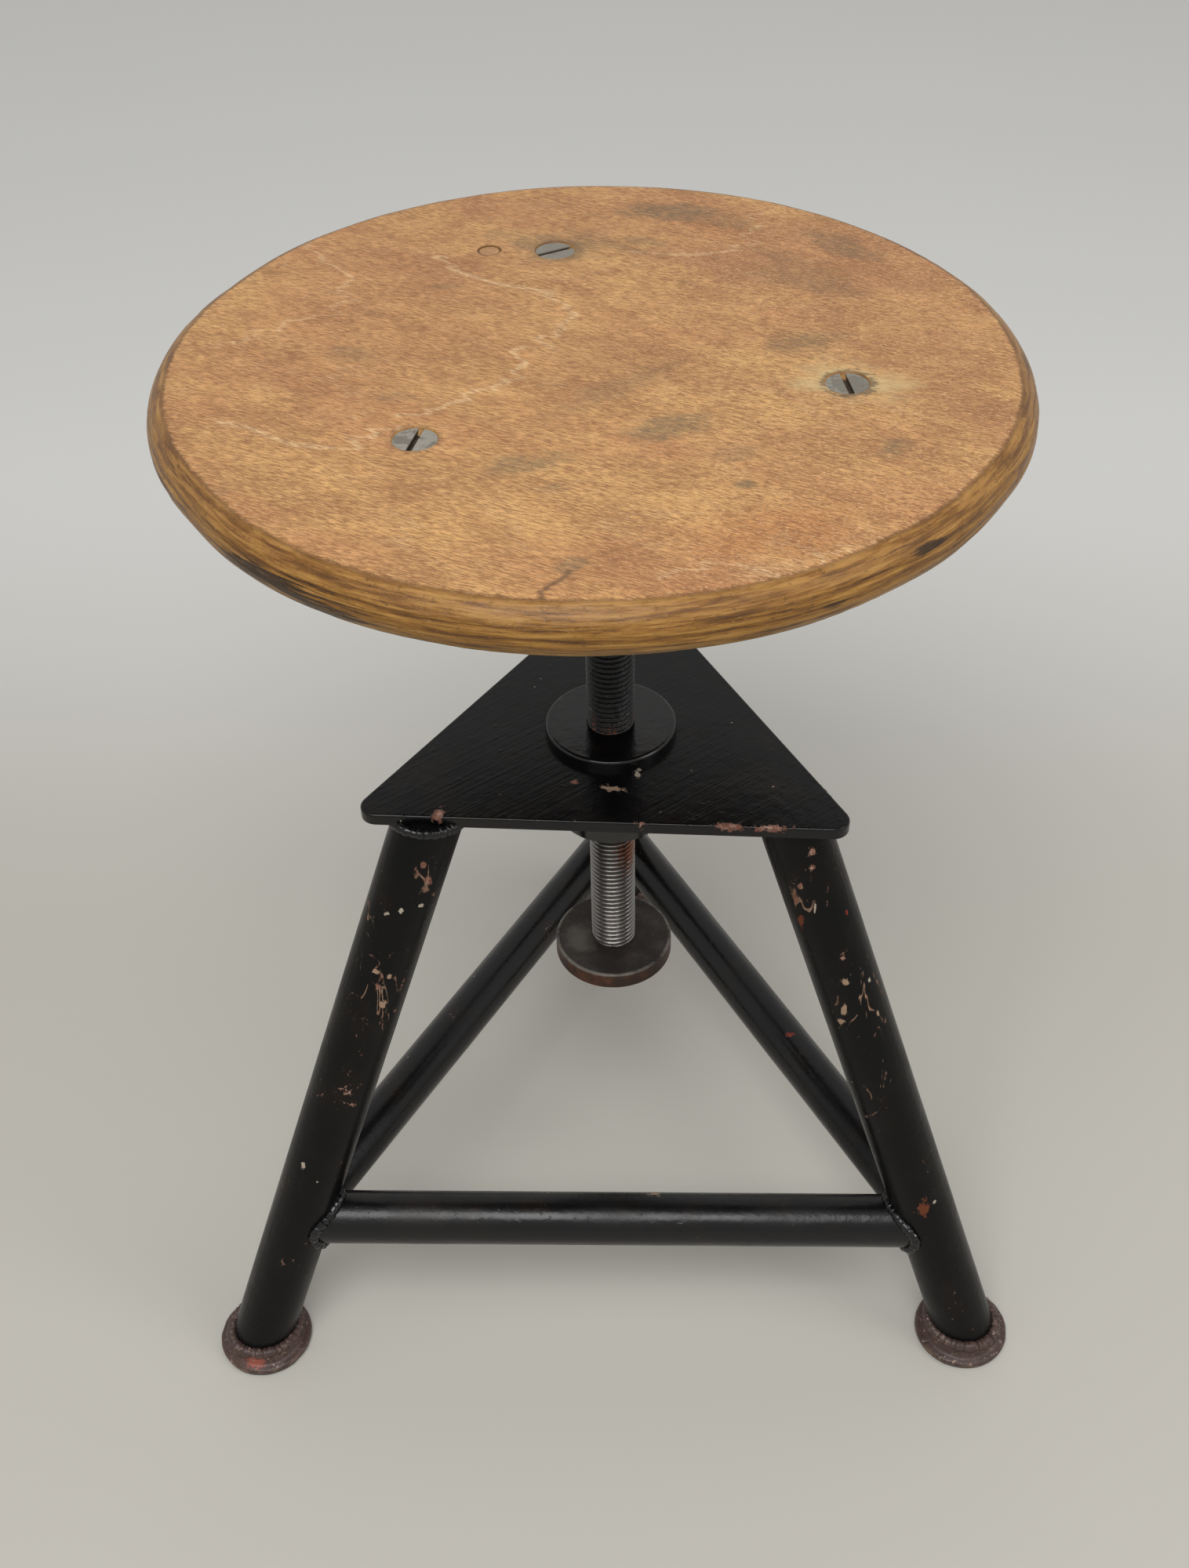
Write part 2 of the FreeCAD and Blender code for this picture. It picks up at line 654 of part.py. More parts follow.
def make_feet():
    """Each foot is a flanged disc with a raised middle that carries the leg."""
    points = [
        ("0", "0"),
        ("(Dims.foot_radius - Dims.foot_chamfer)", "0"),
        ("Dims.foot_radius", "Dims.foot_chamfer"),
        ("Dims.foot_radius", "(Dims.foot_flange - Dims.foot_chamfer)"),
        ("(Dims.foot_radius - Dims.foot_chamfer)", "Dims.foot_flange"),
        ("(Dims.foot_boss_radius + Dims.foot_boss_draft)", "Dims.foot_flange"),
        ("Dims.foot_boss_radius", "Dims.foot_thickness"),
        ("0", "Dims.foot_thickness"),
    ]
    for leg in LEGS:
        body = doc.addObject("PartDesign::Body", f"foot_{leg}_body")
        turned(body, f"foot_{leg}_shape", points)
        place(
            body,
            x=f"Dims.{leg}_spread * cos(Dims.{leg}_angle)",
            y=f"Dims.{leg}_spread * sin(Dims.{leg}_angle)",
            yaw=f"Dims.{leg}_angle",
        )
        node(f"foot_{leg}", body)


def joint(leg):
    """Where the stretchers meet a leg's axis: x and y from the spindle axis, and the height."""
    height = f"Dims.{leg}_joint"
    share = f"({height} - Dims.foot_thickness) / {LEG_RISE}"
    reach = f"(Dims.{leg}_spread - (Dims.{leg}_spread - Dims.{leg}_top) * {share})"
    return f"({reach} * cos(Dims.{leg}_angle))", f"({reach} * sin(Dims.{leg}_angle))", height


def stretcher_cylinder(name, ends, radius):
    """A cylinder from one leg's joint to another's."""
    (start_x, start_y, start_z), (end_x, end_y, end_z) = (joint(leg) for leg in ends)
    run_x = f"({end_x} - {start_x})"
    run_y = f"({end_y} - {start_y})"
    fall = f"({start_z} - {end_z})"
    level = f"sqrt({run_x} * {run_x} + {run_y} * {run_y})"
    solid = cylinder(name, radius, f"sqrt({run_x} * {run_x} + {run_y} * {run_y} + {fall} * {fall})")
    place(
        solid,
        x=start_x,
        y=start_y,
        z=start_z,
        yaw=f"atan2({run_y}; {run_x})",
        pitch=f"90 deg + atan2({fall}; {level})",
    )
    return solid


def make_stretchers():
    """Each stretcher is coped to its two legs, and to the stretchers that were fitted before it."""
    fitted = []
    for name, ends in STRETCHERS.items():
        outer = stretcher_cylinder(name + "_outer", ends, STRETCHER_RADIUS[name])
        bore = stretcher_cylinder(name + "_bore", ends, f"{STRETCHER_RADIUS[name]} - Dims.stretcher_wall")
        coped = cut(name + "_tube", outer, bore)
        for leg in ends:
            coped = cut(f"{name}_at_{leg}", coped, leg_cylinder(f"{name}_cope_{leg}", leg, "Dims.leg_radius"))
        for other in fitted:
            bar = stretcher_cylinder(f"{name}_cope_{other}", STRETCHERS[other], STRETCHER_RADIUS[other])
            coped = cut(f"{name}_past_{other}", coped, bar)
        fitted.append(name)
        node(name, coped)


# Weld beads: what lies within one bead's size of both pieces, and outside both


def make_frame_welds():
    fat_leg = "Dims.leg_radius + Dims.weld_size"
    top_slab = level_slab("leg_weld_slab", f"({PLATE_UNDER} - Dims.weld_size)", PLATE_UNDER)
    foot_slab = level_slab("foot_weld_slab", "Dims.foot_thickness", "(Dims.foot_thickness + Dims.weld_size)")
    for label, slab in (("leg_welds", top_slab), ("foot_welds", foot_slab)):
        beads = []
        for leg in LEGS:
            around = common(f"{label}_{leg}_around", leg_cylinder(f"{label}_{leg}_fat", leg, fat_leg), slab)
            beads.append(cut(f"{label}_{leg}", around, leg_cylinder(f"{label}_{leg}_core", leg, "Dims.leg_radius")))
        node(label, group(label + "_group", beads))
    beads = []
    for leg in LEGS:
        bars = {name: ends for name, ends in STRETCHERS.items() if leg in ends}
        around = doc.addObject("Part::MultiFuse", f"{leg}_around")
        around.Shapes = [
            common(
                f"{leg}_around_{name}",
                leg_cylinder(f"{leg}_fat_leg_{name}", leg, fat_leg),
                stretcher_cylinder(f"{leg}_fat_{name}", ends, f"{STRETCHER_RADIUS[name]} + Dims.weld_size"),
            )
            for name, ends in bars.items()
        ]
        bead = cut(f"{leg}_outside_leg", around, leg_cylinder(f"{leg}_core", leg, "Dims.leg_radius"))
        for name in bars:
            core = stretcher_cylinder(f"{leg}_core_{name}", bars[name], STRETCHER_RADIUS[name])
            bead = cut(f"{leg}_outside_{name}", bead, core)
        beads.append(bead)
    node("stretcher_welds", group("stretcher_welds_group", beads))


make_seat_board()
make_seat_plug()
make_seat_fasteners()
make_seat_plate()
make_hub()
ring_bead("hub_weld", "Dims.hub_radius", SEAT_PLATE_UNDER)
make_spindle()
make_stop()
make_keeper()
make_base_plate()
make_spindle_nut()
ring_bead("nut_weld", "Dims.nut_body_radius", PLATE_UNDER)
make_legs()
make_feet()
make_stretchers()
make_frame_welds()
doc.recompute()

failed = [item.Name for item in doc.Objects if "Invalid" in item.State or "Error" in item.State]
if failed:
    raise RuntimeError(f"these objects failed: {failed}")
for piece in nodes:
    if piece.Shape.isNull() or not piece.Shape.isValid() or not piece.Shape.Solids:
        raise RuntimeError(f"{piece.Label} has no sound shape")

os.makedirs("parts", exist_ok=True)
for piece in nodes:
    piece.Shape.exportStep(f"parts/{piece.Label}.step")
    print(f"{piece.Label:20s} solids {len(piece.Shape.Solids)}  volume {piece.Shape.Volume:12.1f}")
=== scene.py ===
"""Looks of the machinist stool: worn plywood seat, threaded spindle, enamelled tube frame and studio.

The frame holds the stool's solids in metres, +Z up, with the floor at z = 0. The spindle's axis is
upright and a little in front of the origin.
"""

import functools
import math

import bmesh
import bpy
from mathutils import Matrix, Vector, noise


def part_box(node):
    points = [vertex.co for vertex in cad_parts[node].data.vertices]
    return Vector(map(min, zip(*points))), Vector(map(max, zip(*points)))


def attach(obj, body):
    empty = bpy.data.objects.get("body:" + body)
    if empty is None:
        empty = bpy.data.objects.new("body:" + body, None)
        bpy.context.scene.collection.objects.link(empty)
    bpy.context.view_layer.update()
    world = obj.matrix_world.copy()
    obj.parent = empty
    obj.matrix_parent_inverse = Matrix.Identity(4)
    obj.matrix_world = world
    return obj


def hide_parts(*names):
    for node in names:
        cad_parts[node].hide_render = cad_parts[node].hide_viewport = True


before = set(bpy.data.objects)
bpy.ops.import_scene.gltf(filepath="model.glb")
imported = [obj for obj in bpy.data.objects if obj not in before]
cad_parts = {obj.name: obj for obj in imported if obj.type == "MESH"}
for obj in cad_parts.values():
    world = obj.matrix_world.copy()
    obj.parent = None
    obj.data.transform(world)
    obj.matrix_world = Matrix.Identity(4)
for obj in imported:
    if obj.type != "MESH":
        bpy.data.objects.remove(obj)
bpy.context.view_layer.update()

bl_info = {
    "name": "Machinist Stool",
    "version": (1, 0, 0),
    "blender": (4, 5, 0),
    "location": "View3D > Sidebar > Stool",
    "description": "Dresses a workshop stool with a screw spindle in worn wood, enamel and steel",
    "category": "Add Mesh",
}

MM = 0.001


def corners(node):
    """A solid's lowest and highest corner."""
    low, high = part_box(node)
    return Vector(low), Vector(high)


def middle(node):
    low, high = corners(node)
    return (low + high) / 2


BOARD_LOW, BOARD_HIGH = corners("seat_board")
BOARD_MIDDLE = middle("seat_board")
BOARD_RADIUS = (BOARD_HIGH.x - BOARD_LOW.x) / 2
BOARD_THICKNESS = BOARD_HIGH.z - BOARD_LOW.z
COLLAR_LOW, COLLAR_HIGH = corners("spindle_nut")
AXIS = Vector((*middle("spindle_nut").xy, 0))
PLATE_LOW, PLATE_HIGH = corners("base_plate")
SPINDLE_LOW, SPINDLE_HIGH = corners("spindle")
SPINDLE_RADIUS = (SPINDLE_HIGH.x - SPINDLE_LOW.x) / 2
DISC_LOW, DISC_HIGH = corners("stop_disc")
SIDES = ("front_left", "front_right", "rear")
LEG_RADIUS = 16.85 * MM
# each stretcher's two legs and its radius, and the height where its axis meets a leg's axis
STRETCHERS = {
    "front": ("front_left", "front_right", 14.3 * MM),
    "left": ("front_left", "rear", 13.45 * MM),
    "right": ("front_right", "rear", 13.45 * MM),
}
JOINT = {"front_left": 92 * MM, "front_right": 84 * MM, "rear": 97 * MM}
# the board's mesh: corners round it, and steps in each of its two rounded edges
BOARD_CORNERS = 640
RIM_STEPS = 24
# where the rim is rubbed flat: its direction and width in degrees, and its depth in mm
RUBBED_FLATS = ((-31, 8, 1.1), (42, 22, 2.0), (-146, 7, 1.0), (155, 8, 0.9), (-78, 9, 0.4), (-52, 5, 0.5))
# holes of the board: radius, gaps round the screws' heads and the plug, depth of the countersinks,
# and how far the cutting shapes stand out of the face
SCREW_HOLE = 5.25 * MM
SCREW_GAP = 0.5 * MM
PLUG_GAP = 0.25 * MM
COUNTERSINK = 4.6 * MM
TOOL_OVER = 1 * MM
# the spindle's turned-down end, and the bevel at both ends of its thread
SPIGOT_RADIUS = 8 * MM
THREAD_CHAMFER = 1.5 * MM
FOOT_CORNERS = 120
# a weld bead's mesh, how uneven it is, and how far its line lies off the faces that it joins
BEAD_ROW = 0.55 * MM
BEAD_CORNERS = 12
BEAD_LUMPS = 0.9 * MM
LEG_BEAD_OFF = 0.9 * MM
SADDLE_BEAD_OFF = 0.5 * MM
ROUND_BEAD_DOWN = 0.6 * MM
FLANGE_TO_BEAD = 4.5 * MM
HUB_TO_BEAD = 0.8 * MM
FLOOR_REACH = 9.0
# the way that the chips and scratches of a leg face
FORWARD_UP = Vector((0, -0.75, 0.66))


def cut_middle(node, high):
    """The middle of a tube's upper or lower cut."""
    low_corner, high_corner = corners(node)
    level = high_corner.z if high else low_corner.z
    ring = [vert.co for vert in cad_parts[node].data.vertices if abs(vert.co.z - level) < 1e-5]
    spans = [[co[axis] for co in ring] for axis in range(2)]
    return Vector((*((min(span) + max(span)) / 2 for span in spans), level))


LEG_TOP = {side: cut_middle(f"leg_{side}", True) for side in SIDES}
LEG_FOOT = {side: cut_middle(f"leg_{side}", False) for side in SIDES}


def leg_run(side):
    """Direction of a leg, from its foot up."""
    return (LEG_TOP[side] - LEG_FOOT[side]).normalized()


def on_axis(side, height):
    """The point of a leg's axis at a height."""
    top, foot = LEG_TOP[side], LEG_FOOT[side]
    return foot + (top - foot) * ((height - foot.z) / (top.z - foot.z))


def on_leg(side, height, across):
    """A point on the front of a leg, by its height and its distance right of the middle line, in mm."""
    run = leg_run(side)
    right = run.cross(FORWARD_UP).normalized()
    front = right.cross(run).normalized()
    if front.y > 0:
        front.negate()
    across *= MM
    return on_axis(side, height * MM) + right * across + front * math.sqrt(LEG_RADIUS**2 - across**2)


# Node trees


class Tree:
    """Writes one node tree. Each method adds nodes and returns an output."""

    def add(self, kind, inputs=None, **settings):
        """Add a node with its settings, and its inputs by their names or numbers."""
        node = self.tree.nodes.new(kind)
        for name, setting in settings.items():
            setattr(node, name, setting)
        for key, source in (inputs or {}).items():
            self.put(node.inputs[key], source)
        return node

    def put(self, socket, source):
        if isinstance(source, bpy.types.NodeSocket):
            self.tree.links.new(source, socket)
        elif socket.type == "RGBA":
            socket.default_value = (*source, 1.0)
        else:
            socket.default_value = source

    def math(self, operation, *sources):
        return self.add("ShaderNodeMath", dict(enumerate(sources)), operation=operation).outputs[0]

    def times(self, first, second):
        return self.math("MULTIPLY", first, second)

    def plus(self, first, second):
        return self.math("ADD", first, second)

    def minus(self, first, second):
        return self.math("SUBTRACT", first, second)

    def larger(self, first, second):
        return self.math("MAXIMUM", first, second)

    def swing(self, noise, reach):
        """Noise about 0 instead of 0.5, times its reach."""
        return self.times(self.minus(noise, 0.5), reach)


class Recipe(Tree):
    """Writes one material."""

    def __init__(self, name):
        self.material = bpy.data.materials.new(name)
        self.material.use_nodes = True
        self.tree = self.material.node_tree
        self.surface = self.tree.nodes["Principled BSDF"]
        self.place = self.add("ShaderNodeTexCoord").outputs["Object"]

    def vector(self, operation, first, second=(0.0, 0.0, 0.0)):
        node = self.add("ShaderNodeVectorMath", {0: first, 1: second}, operation=operation)
        return node.outputs["Value" if operation in ("LENGTH", "DISTANCE") else "Vector"]

    def mix(self, share, first, second):
        """The second colour where the share is 1."""
        inputs = {0: share, 6: first, 7: second}
        return self.add("ShaderNodeMix", inputs, data_type="RGBA", clamp_factor=True).outputs[2]

    def over(self, under, colour, share, amount):
        """A colour laid over another by a share times an amount."""
        return self.mix(self.times(share, amount), under, colour)

    def blend(self, share, first, second):
        """The second number where the share is 1."""
        inputs = {0: share, 2: first, 3: second}
        return self.add("ShaderNodeMix", inputs, data_type="FLOAT", clamp_factor=True).outputs[0]

    def step(self, source, low, high):
        """0 below low, 1 above high, and smooth between them. It falls where low is above high."""
        rising = low < high
        inputs = {
            "Value": source,
            "From Min": min(low, high),
            "From Max": max(low, high),
            "To Min": 0.0 if rising else 1.0,
            "To Max": 1.0 if rising else 0.0,
        }
        return self.add("ShaderNodeMapRange", inputs, interpolation_type="SMOOTHSTEP").outputs["Result"]

    def band(self, source, rise, fall):
        """1 between two steps."""
        return self.times(self.step(source, *rise), self.step(source, *fall))

    def mapped(self, sizes, turn=0.0, offset=(0.0, 0.0, 0.0), source=None):
        """Coordinates in which a pattern's cells measure sizes, in metres, turned about Z in degrees."""
        inputs = {
            "Vector": source or self.place,
            "Location": offset,
            "Rotation": (0.0, 0.0, math.radians(turn)),
            "Scale": sizes,
        }
        return self.add("ShaderNodeMapping", inputs, vector_type="TEXTURE").outputs["Vector"]

    def noise(self, sizes, detail=2.0, roughness=0.5, turn=0.0, offset=(0.0, 0.0, 0.0), distortion=0.0, where=None):
        """Noise whose lumps measure sizes, in metres, or noise at a place of its own."""
        inputs = {
            "Vector": where or self.mapped(sizes, turn, offset),
            "Scale": 1.0,
            "Detail": detail,
            "Roughness": roughness,
            "Distortion": distortion,
        }
        return self.add("ShaderNodeTexNoise", inputs).outputs["Fac"]

    def ramp(self, source, stops):
        node = self.add("ShaderNodeValToRGB", {0: source})
        band = node.color_ramp
        while len(band.elements) < len(stops):
            band.elements.new(0.5)
        for element, (position, colour) in zip(band.elements, stops):
            element.position = position
            element.color = (*colour, 1.0)
        return node.outputs[0]

    def split(self, source=None):
        return self.add("ShaderNodeSeparateXYZ", {0: source or self.place}).outputs[:3]

    def from_axis(self, point):
        """Distance from an upright line through a point."""
        flat = self.vector("MULTIPLY", self.place, (1.0, 1.0, 0.0))
        return self.vector("DISTANCE", flat, (point.x, point.y, 0.0))

    def patch(self, point, sizes, turn=0.0, wobble=None, edge=0.45):
        """A soft spot round a point: 1 inside, 0 beyond its sizes. The wobble makes its outline uneven."""
        far = self.vector("LENGTH", self.mapped(sizes, turn, point))
        if wobble:
            far = self.plus(far, wobble)
        return self.step(far, 1.0, edge)

    def on_board(self, spot, sizes, turn, wobble, edge, deep=0.05):
        """A patch on the board's face, by its place and its sizes in mm."""
        return self.patch(
            (spot[0] * MM, spot[1] * MM, BOARD_HIGH.z), (sizes[0] * MM, sizes[1] * MM, deep), turn, wobble, edge
        )

    def any_of(self, sources):
        return functools.reduce(self.larger, sources)

    def bump(self, height, distance, strength=1.0, under=None):
        inputs = {"Strength": strength, "Distance": distance, "Height": height}
        if under:
            inputs["Normal"] = under
        return self.add("ShaderNodeBump", inputs).outputs["Normal"]

    def along(self, points, width, uneven, edge=0.15):
        """A thin line through points on the board's face, in mm, drawn on uneven coordinates."""
        marks = []
        for (ax, ay), (bx, by) in zip(points, points[1:]):
            half = (math.hypot(bx - ax, by - ay) / 2 + 0.5) * MM
            turn = math.degrees(math.atan2(by - ay, bx - ax))
            spot = ((ax + bx) / 2 * MM, (ay + by) / 2 * MM, BOARD_HIGH.z)
            run, beside, _ = self.split(self.mapped((half, width, 1.0), turn, spot, uneven))
            near = self.step(self.math("ABSOLUTE", beside), 1.0, edge)
            marks.append(self.times(near, self.step(self.math("ABSOLUTE", run), 1.04, 0.97)))
        return self.any_of(marks)

    def finish(self, colour, roughness, normal, metallic=0.0, **constants):
        """End the material. A constant's name has _ for each space."""
        linked = {"Base Color": colour, "Roughness": roughness, "Normal": normal, "Metallic": metallic}
        constants = {name.replace("_", " "): setting for name, setting in constants.items()}
        for name, source in {**linked, **constants}.items():
            self.put(self.surface.inputs[name], source)
        return self.material


def dress(node, material):
    """Give a solid of the frame its finish."""
    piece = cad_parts[node]
    piece.data.materials.clear()
    piece.data.materials.append(material)


# Meshes


def finish_mesh(name, shape, material, angle=35.0):
    """Turn a bmesh into an object with outward faces, smooth up to an angle."""
    bmesh.ops.remove_doubles(shape, verts=shape.verts, dist=1e-6)
    bmesh.ops.recalc_face_normals(shape, faces=shape.faces)
    mesh = bpy.data.meshes.new(name)
    shape.to_mesh(mesh)
    shape.free()
    for face in mesh.polygons:
        face.use_smooth = True
    mesh.set_sharp_from_angle(angle=math.radians(angle))
    mesh.materials.append(material)
    return new_piece(name, mesh)


def close_rows(shape, rows, poles):
    """Join rows of corners round an axis with faces, and close each end with a pole."""
    count = len(rows[0])
    for near, far in zip(rows, rows[1:]):
        for index in range(count):
            after = (index + 1) % count
            shape.faces.new((near[index], far[index], far[after], near[after]))
    for row, place in zip((rows[0], rows[-1]), poles):
        pole = shape.verts.new(place)
        for index in range(count):
            shape.faces.new((row[index], row[(index + 1) % count], pole))


def spokes(across=Vector((1, 0, 0)), beside=Vector((0, 1, 0)), count=72):
    """Directions all round, from two that are square to each other."""
    turns = [2 * math.pi * index / count for index in range(count)]
    return [across * math.cos(turn) + beside * math.sin(turn) for turn in turns]


def new_piece(name, data=None):
    """Add an object to the scene, with an empty mesh if it has no data."""
    piece = bpy.data.objects.new(name, data or bpy.data.meshes.new(name))
    bpy.context.scene.collection.objects.link(piece)
    return piece


class Weave(Tree):
    """Writes one geometry tree, from a list of its inputs' names, kinds and values."""

    def __init__(self, name, inputs):
        self.tree = bpy.data.node_groups.new(name, "GeometryNodeTree")
        self.settings = {}
        for label, kind, setting in inputs:
            socket = self.tree.interface.new_socket(label, in_out="INPUT", socket_type="NodeSocket" + kind)
            self.settings[socket.identifier] = setting
        self.tree.interface.new_socket("Geometry", in_out="OUTPUT", socket_type="NodeSocketGeometry")
        self.inputs = self.add("NodeGroupInput")
        self.output = self.add("NodeGroupOutput")

    def given(self, label):
        return self.inputs.outputs[label]

    def bake(self, piece, geometry, material, name, angle):
        """End the tree, run it on a piece, and keep the mesh that it makes as a plain object."""
        whole = self.add("GeometryNodeRealizeInstances", {0: geometry})
        painted = self.add("GeometryNodeSetMaterial", {"Geometry": whole.outputs[0], "Material": material})
        self.put(self.output.inputs[0], painted.outputs[0])
        modifier = piece.modifiers.new(self.tree.name, "NODES")
        modifier.node_group = self.tree
        for identifier, setting in self.settings.items():
            if setting is not None:
                modifier[identifier] = setting
        mesh = bpy.data.meshes.new_from_object(piece.evaluated_get(bpy.context.evaluated_depsgraph_get()))
        bpy.data.objects.remove(piece)
        shape = bmesh.new()
        shape.from_mesh(mesh)
        bpy.data.meshes.remove(mesh)
        return finish_mesh(name, shape, material, angle)


# Sizes and colours that a user would change


def colour_property(name, description, default):
    return bpy.props.FloatVectorProperty(
        name=name, description=description, default=default, subtype="COLOR", size=3, min=0.0, max=1.0
    )


def length_property(name, description, default):
    return bpy.props.FloatProperty(
        name=name, description=description, default=default, subtype="DISTANCE", unit="LENGTH", min=0.0
    )


def share_property(name, description, default):
    return bpy.props.FloatProperty(
        name=name, description=description, default=default, subtype="FACTOR", min=0.0, max=1.0
    )


class SeatLooks(bpy.types.PropertyGroup):
    """Sizes and colours of the seat board."""

    light_wood: colour_property("Light wood", "Face veneer where it is golden", (0.73, 0.415, 0.155))
    warm_wood: colour_property("Warm wood", "Face veneer where it is rosy", (0.60, 0.290, 0.120))
    brown_wood: colour_property("Brown wood", "Face veneer where it is brownest", (0.38, 0.178, 0.080))
    fibre: colour_property("Fibre", "Short dark ticks along the grain", (0.26, 0.108, 0.040))
    smudge: colour_property("Smudge", "Grey brown dirt in the face", (0.165, 0.125, 0.075))
    growth_line: colour_property("Growth line", "Pale jagged lines", (0.86, 0.585, 0.31))
    edge_gold: colour_property("Edge gold", "Palest ply in the rim", (0.45, 0.240, 0.060))
    edge_brown: colour_property("Edge brown", "Usual tone of the rim", (0.240, 0.104, 0.016))
    edge_dark: colour_property("Edge dark", "Darkest streaks and stains of the rim", (0.030, 0.015, 0.006))
    grain_turn: bpy.props.FloatProperty(
        name="Grain turn", description="Direction of the grain from left to right, in degrees", default=-23.0
    )
    ply: length_property("Ply", "Thickness of one ply", 2.2 * MM)
    rounding: length_property("Rounding", "Round of the worn rim", 11.5 * MM)
    wear: length_property("Wear", "How far the rim has worn out of round", 1.1 * MM)


class FrameLooks(bpy.types.PropertyGroup):
    """Colours and finish of the enamelled frame."""

    enamel: colour_property("Enamel", "Black paint", (0.0030, 0.0030, 0.0033))
    primer: colour_property("Primer", "Old paint and rust in the chips", (0.17, 0.072, 0.048))
    fleck: colour_property("Fleck", "Tiny pale marks", (0.40, 0.34, 0.27))
    bare: colour_property("Bare patch", "Pale worn patches", (0.32, 0.215, 0.145))
    gloss: share_property("Roughness", "Roughness of the sound paint", 0.16)
    stroke: length_property("Stroke", "Depth of the brush strokes", 0.16 * MM)
    bead: length_property("Bead", "Width of a weld bead", 6.6 * MM)
    bead_step: length_property("Bead step", "Distance between the ripples of a weld bead", 3.4 * MM)


class SteelLooks(bpy.types.PropertyGroup):
    """Sizes and colours of the bare steel pieces."""

    bright: colour_property("Bright steel", "Worn crests of the thread", (0.30, 0.29, 0.28))
    dull: colour_property("Dull steel", "Oily roots of the thread", (0.070, 0.062, 0.056))
    zinc: colour_property("Zinc", "Seat screws", (0.46, 0.435, 0.375))
    dirt: colour_property("Dirt", "Dirt in slots and corners", (0.025, 0.017, 0.011))
    rust: colour_property("Rust", "Rusty spots", (0.21, 0.065, 0.025))
    disc: colour_property("Disc", "Top of the stop disc", (0.026, 0.021, 0.018))
    foot: colour_property("Foot", "Worn paint of the feet", (0.085, 0.050, 0.040))
    pitch: length_property("Pitch", "Rise of the thread in one turn", 3.0 * MM)
    depth: length_property("Depth", "Depth of the thread", 1.55 * MM)
    around: bpy.props.IntProperty(name="Around", description="Corners of one turn of the thread", default=56, min=12)
    per_turn: bpy.props.IntProperty(name="Rows", description="Rows in one turn of the thread", default=12, min=4)


class StageLooks(bpy.types.PropertyGroup):
    """Floor, lamps and camera."""

    floor: colour_property("Floor", "Plain pale floor under the stool", (0.58, 0.56, 0.505))
    backdrop: colour_property("Backdrop", "Paler floor behind the stool", (0.80, 0.80, 0.78))
    key: bpy.props.FloatProperty(name="Key", description="Large soft lamp over the camera", default=31.0, unit="POWER")
    fill: bpy.props.FloatProperty(name="Fill", description="Lamp at the side", default=8.0, unit="POWER")
    sky: share_property("Sky", "Light from all round", 0.50)
    lens: bpy.props.FloatProperty(name="Lens", description="Focal length", default=40.63, subtype="DISTANCE_CAMERA")
    eye: bpy.props.FloatVectorProperty(
        name="Eye", description="Place of the camera", default=(0.0130, -0.7177, 0.9070), subtype="TRANSLATION"
    )
    heading: bpy.props.FloatProperty(
        name="Heading", description="Turn of the camera about Z", default=math.radians(1.83), subtype="ANGLE"
    )
    tilt: bpy.props.FloatProperty(
        name="Tilt", description="Camera's view below the horizon", default=math.radians(41.04), subtype="ANGLE"
    )
    roll: bpy.props.FloatProperty(
        name="Roll", description="Turn of the camera about its view", default=math.radians(-1.236), subtype="ANGLE"
    )


# Finishes of the seat


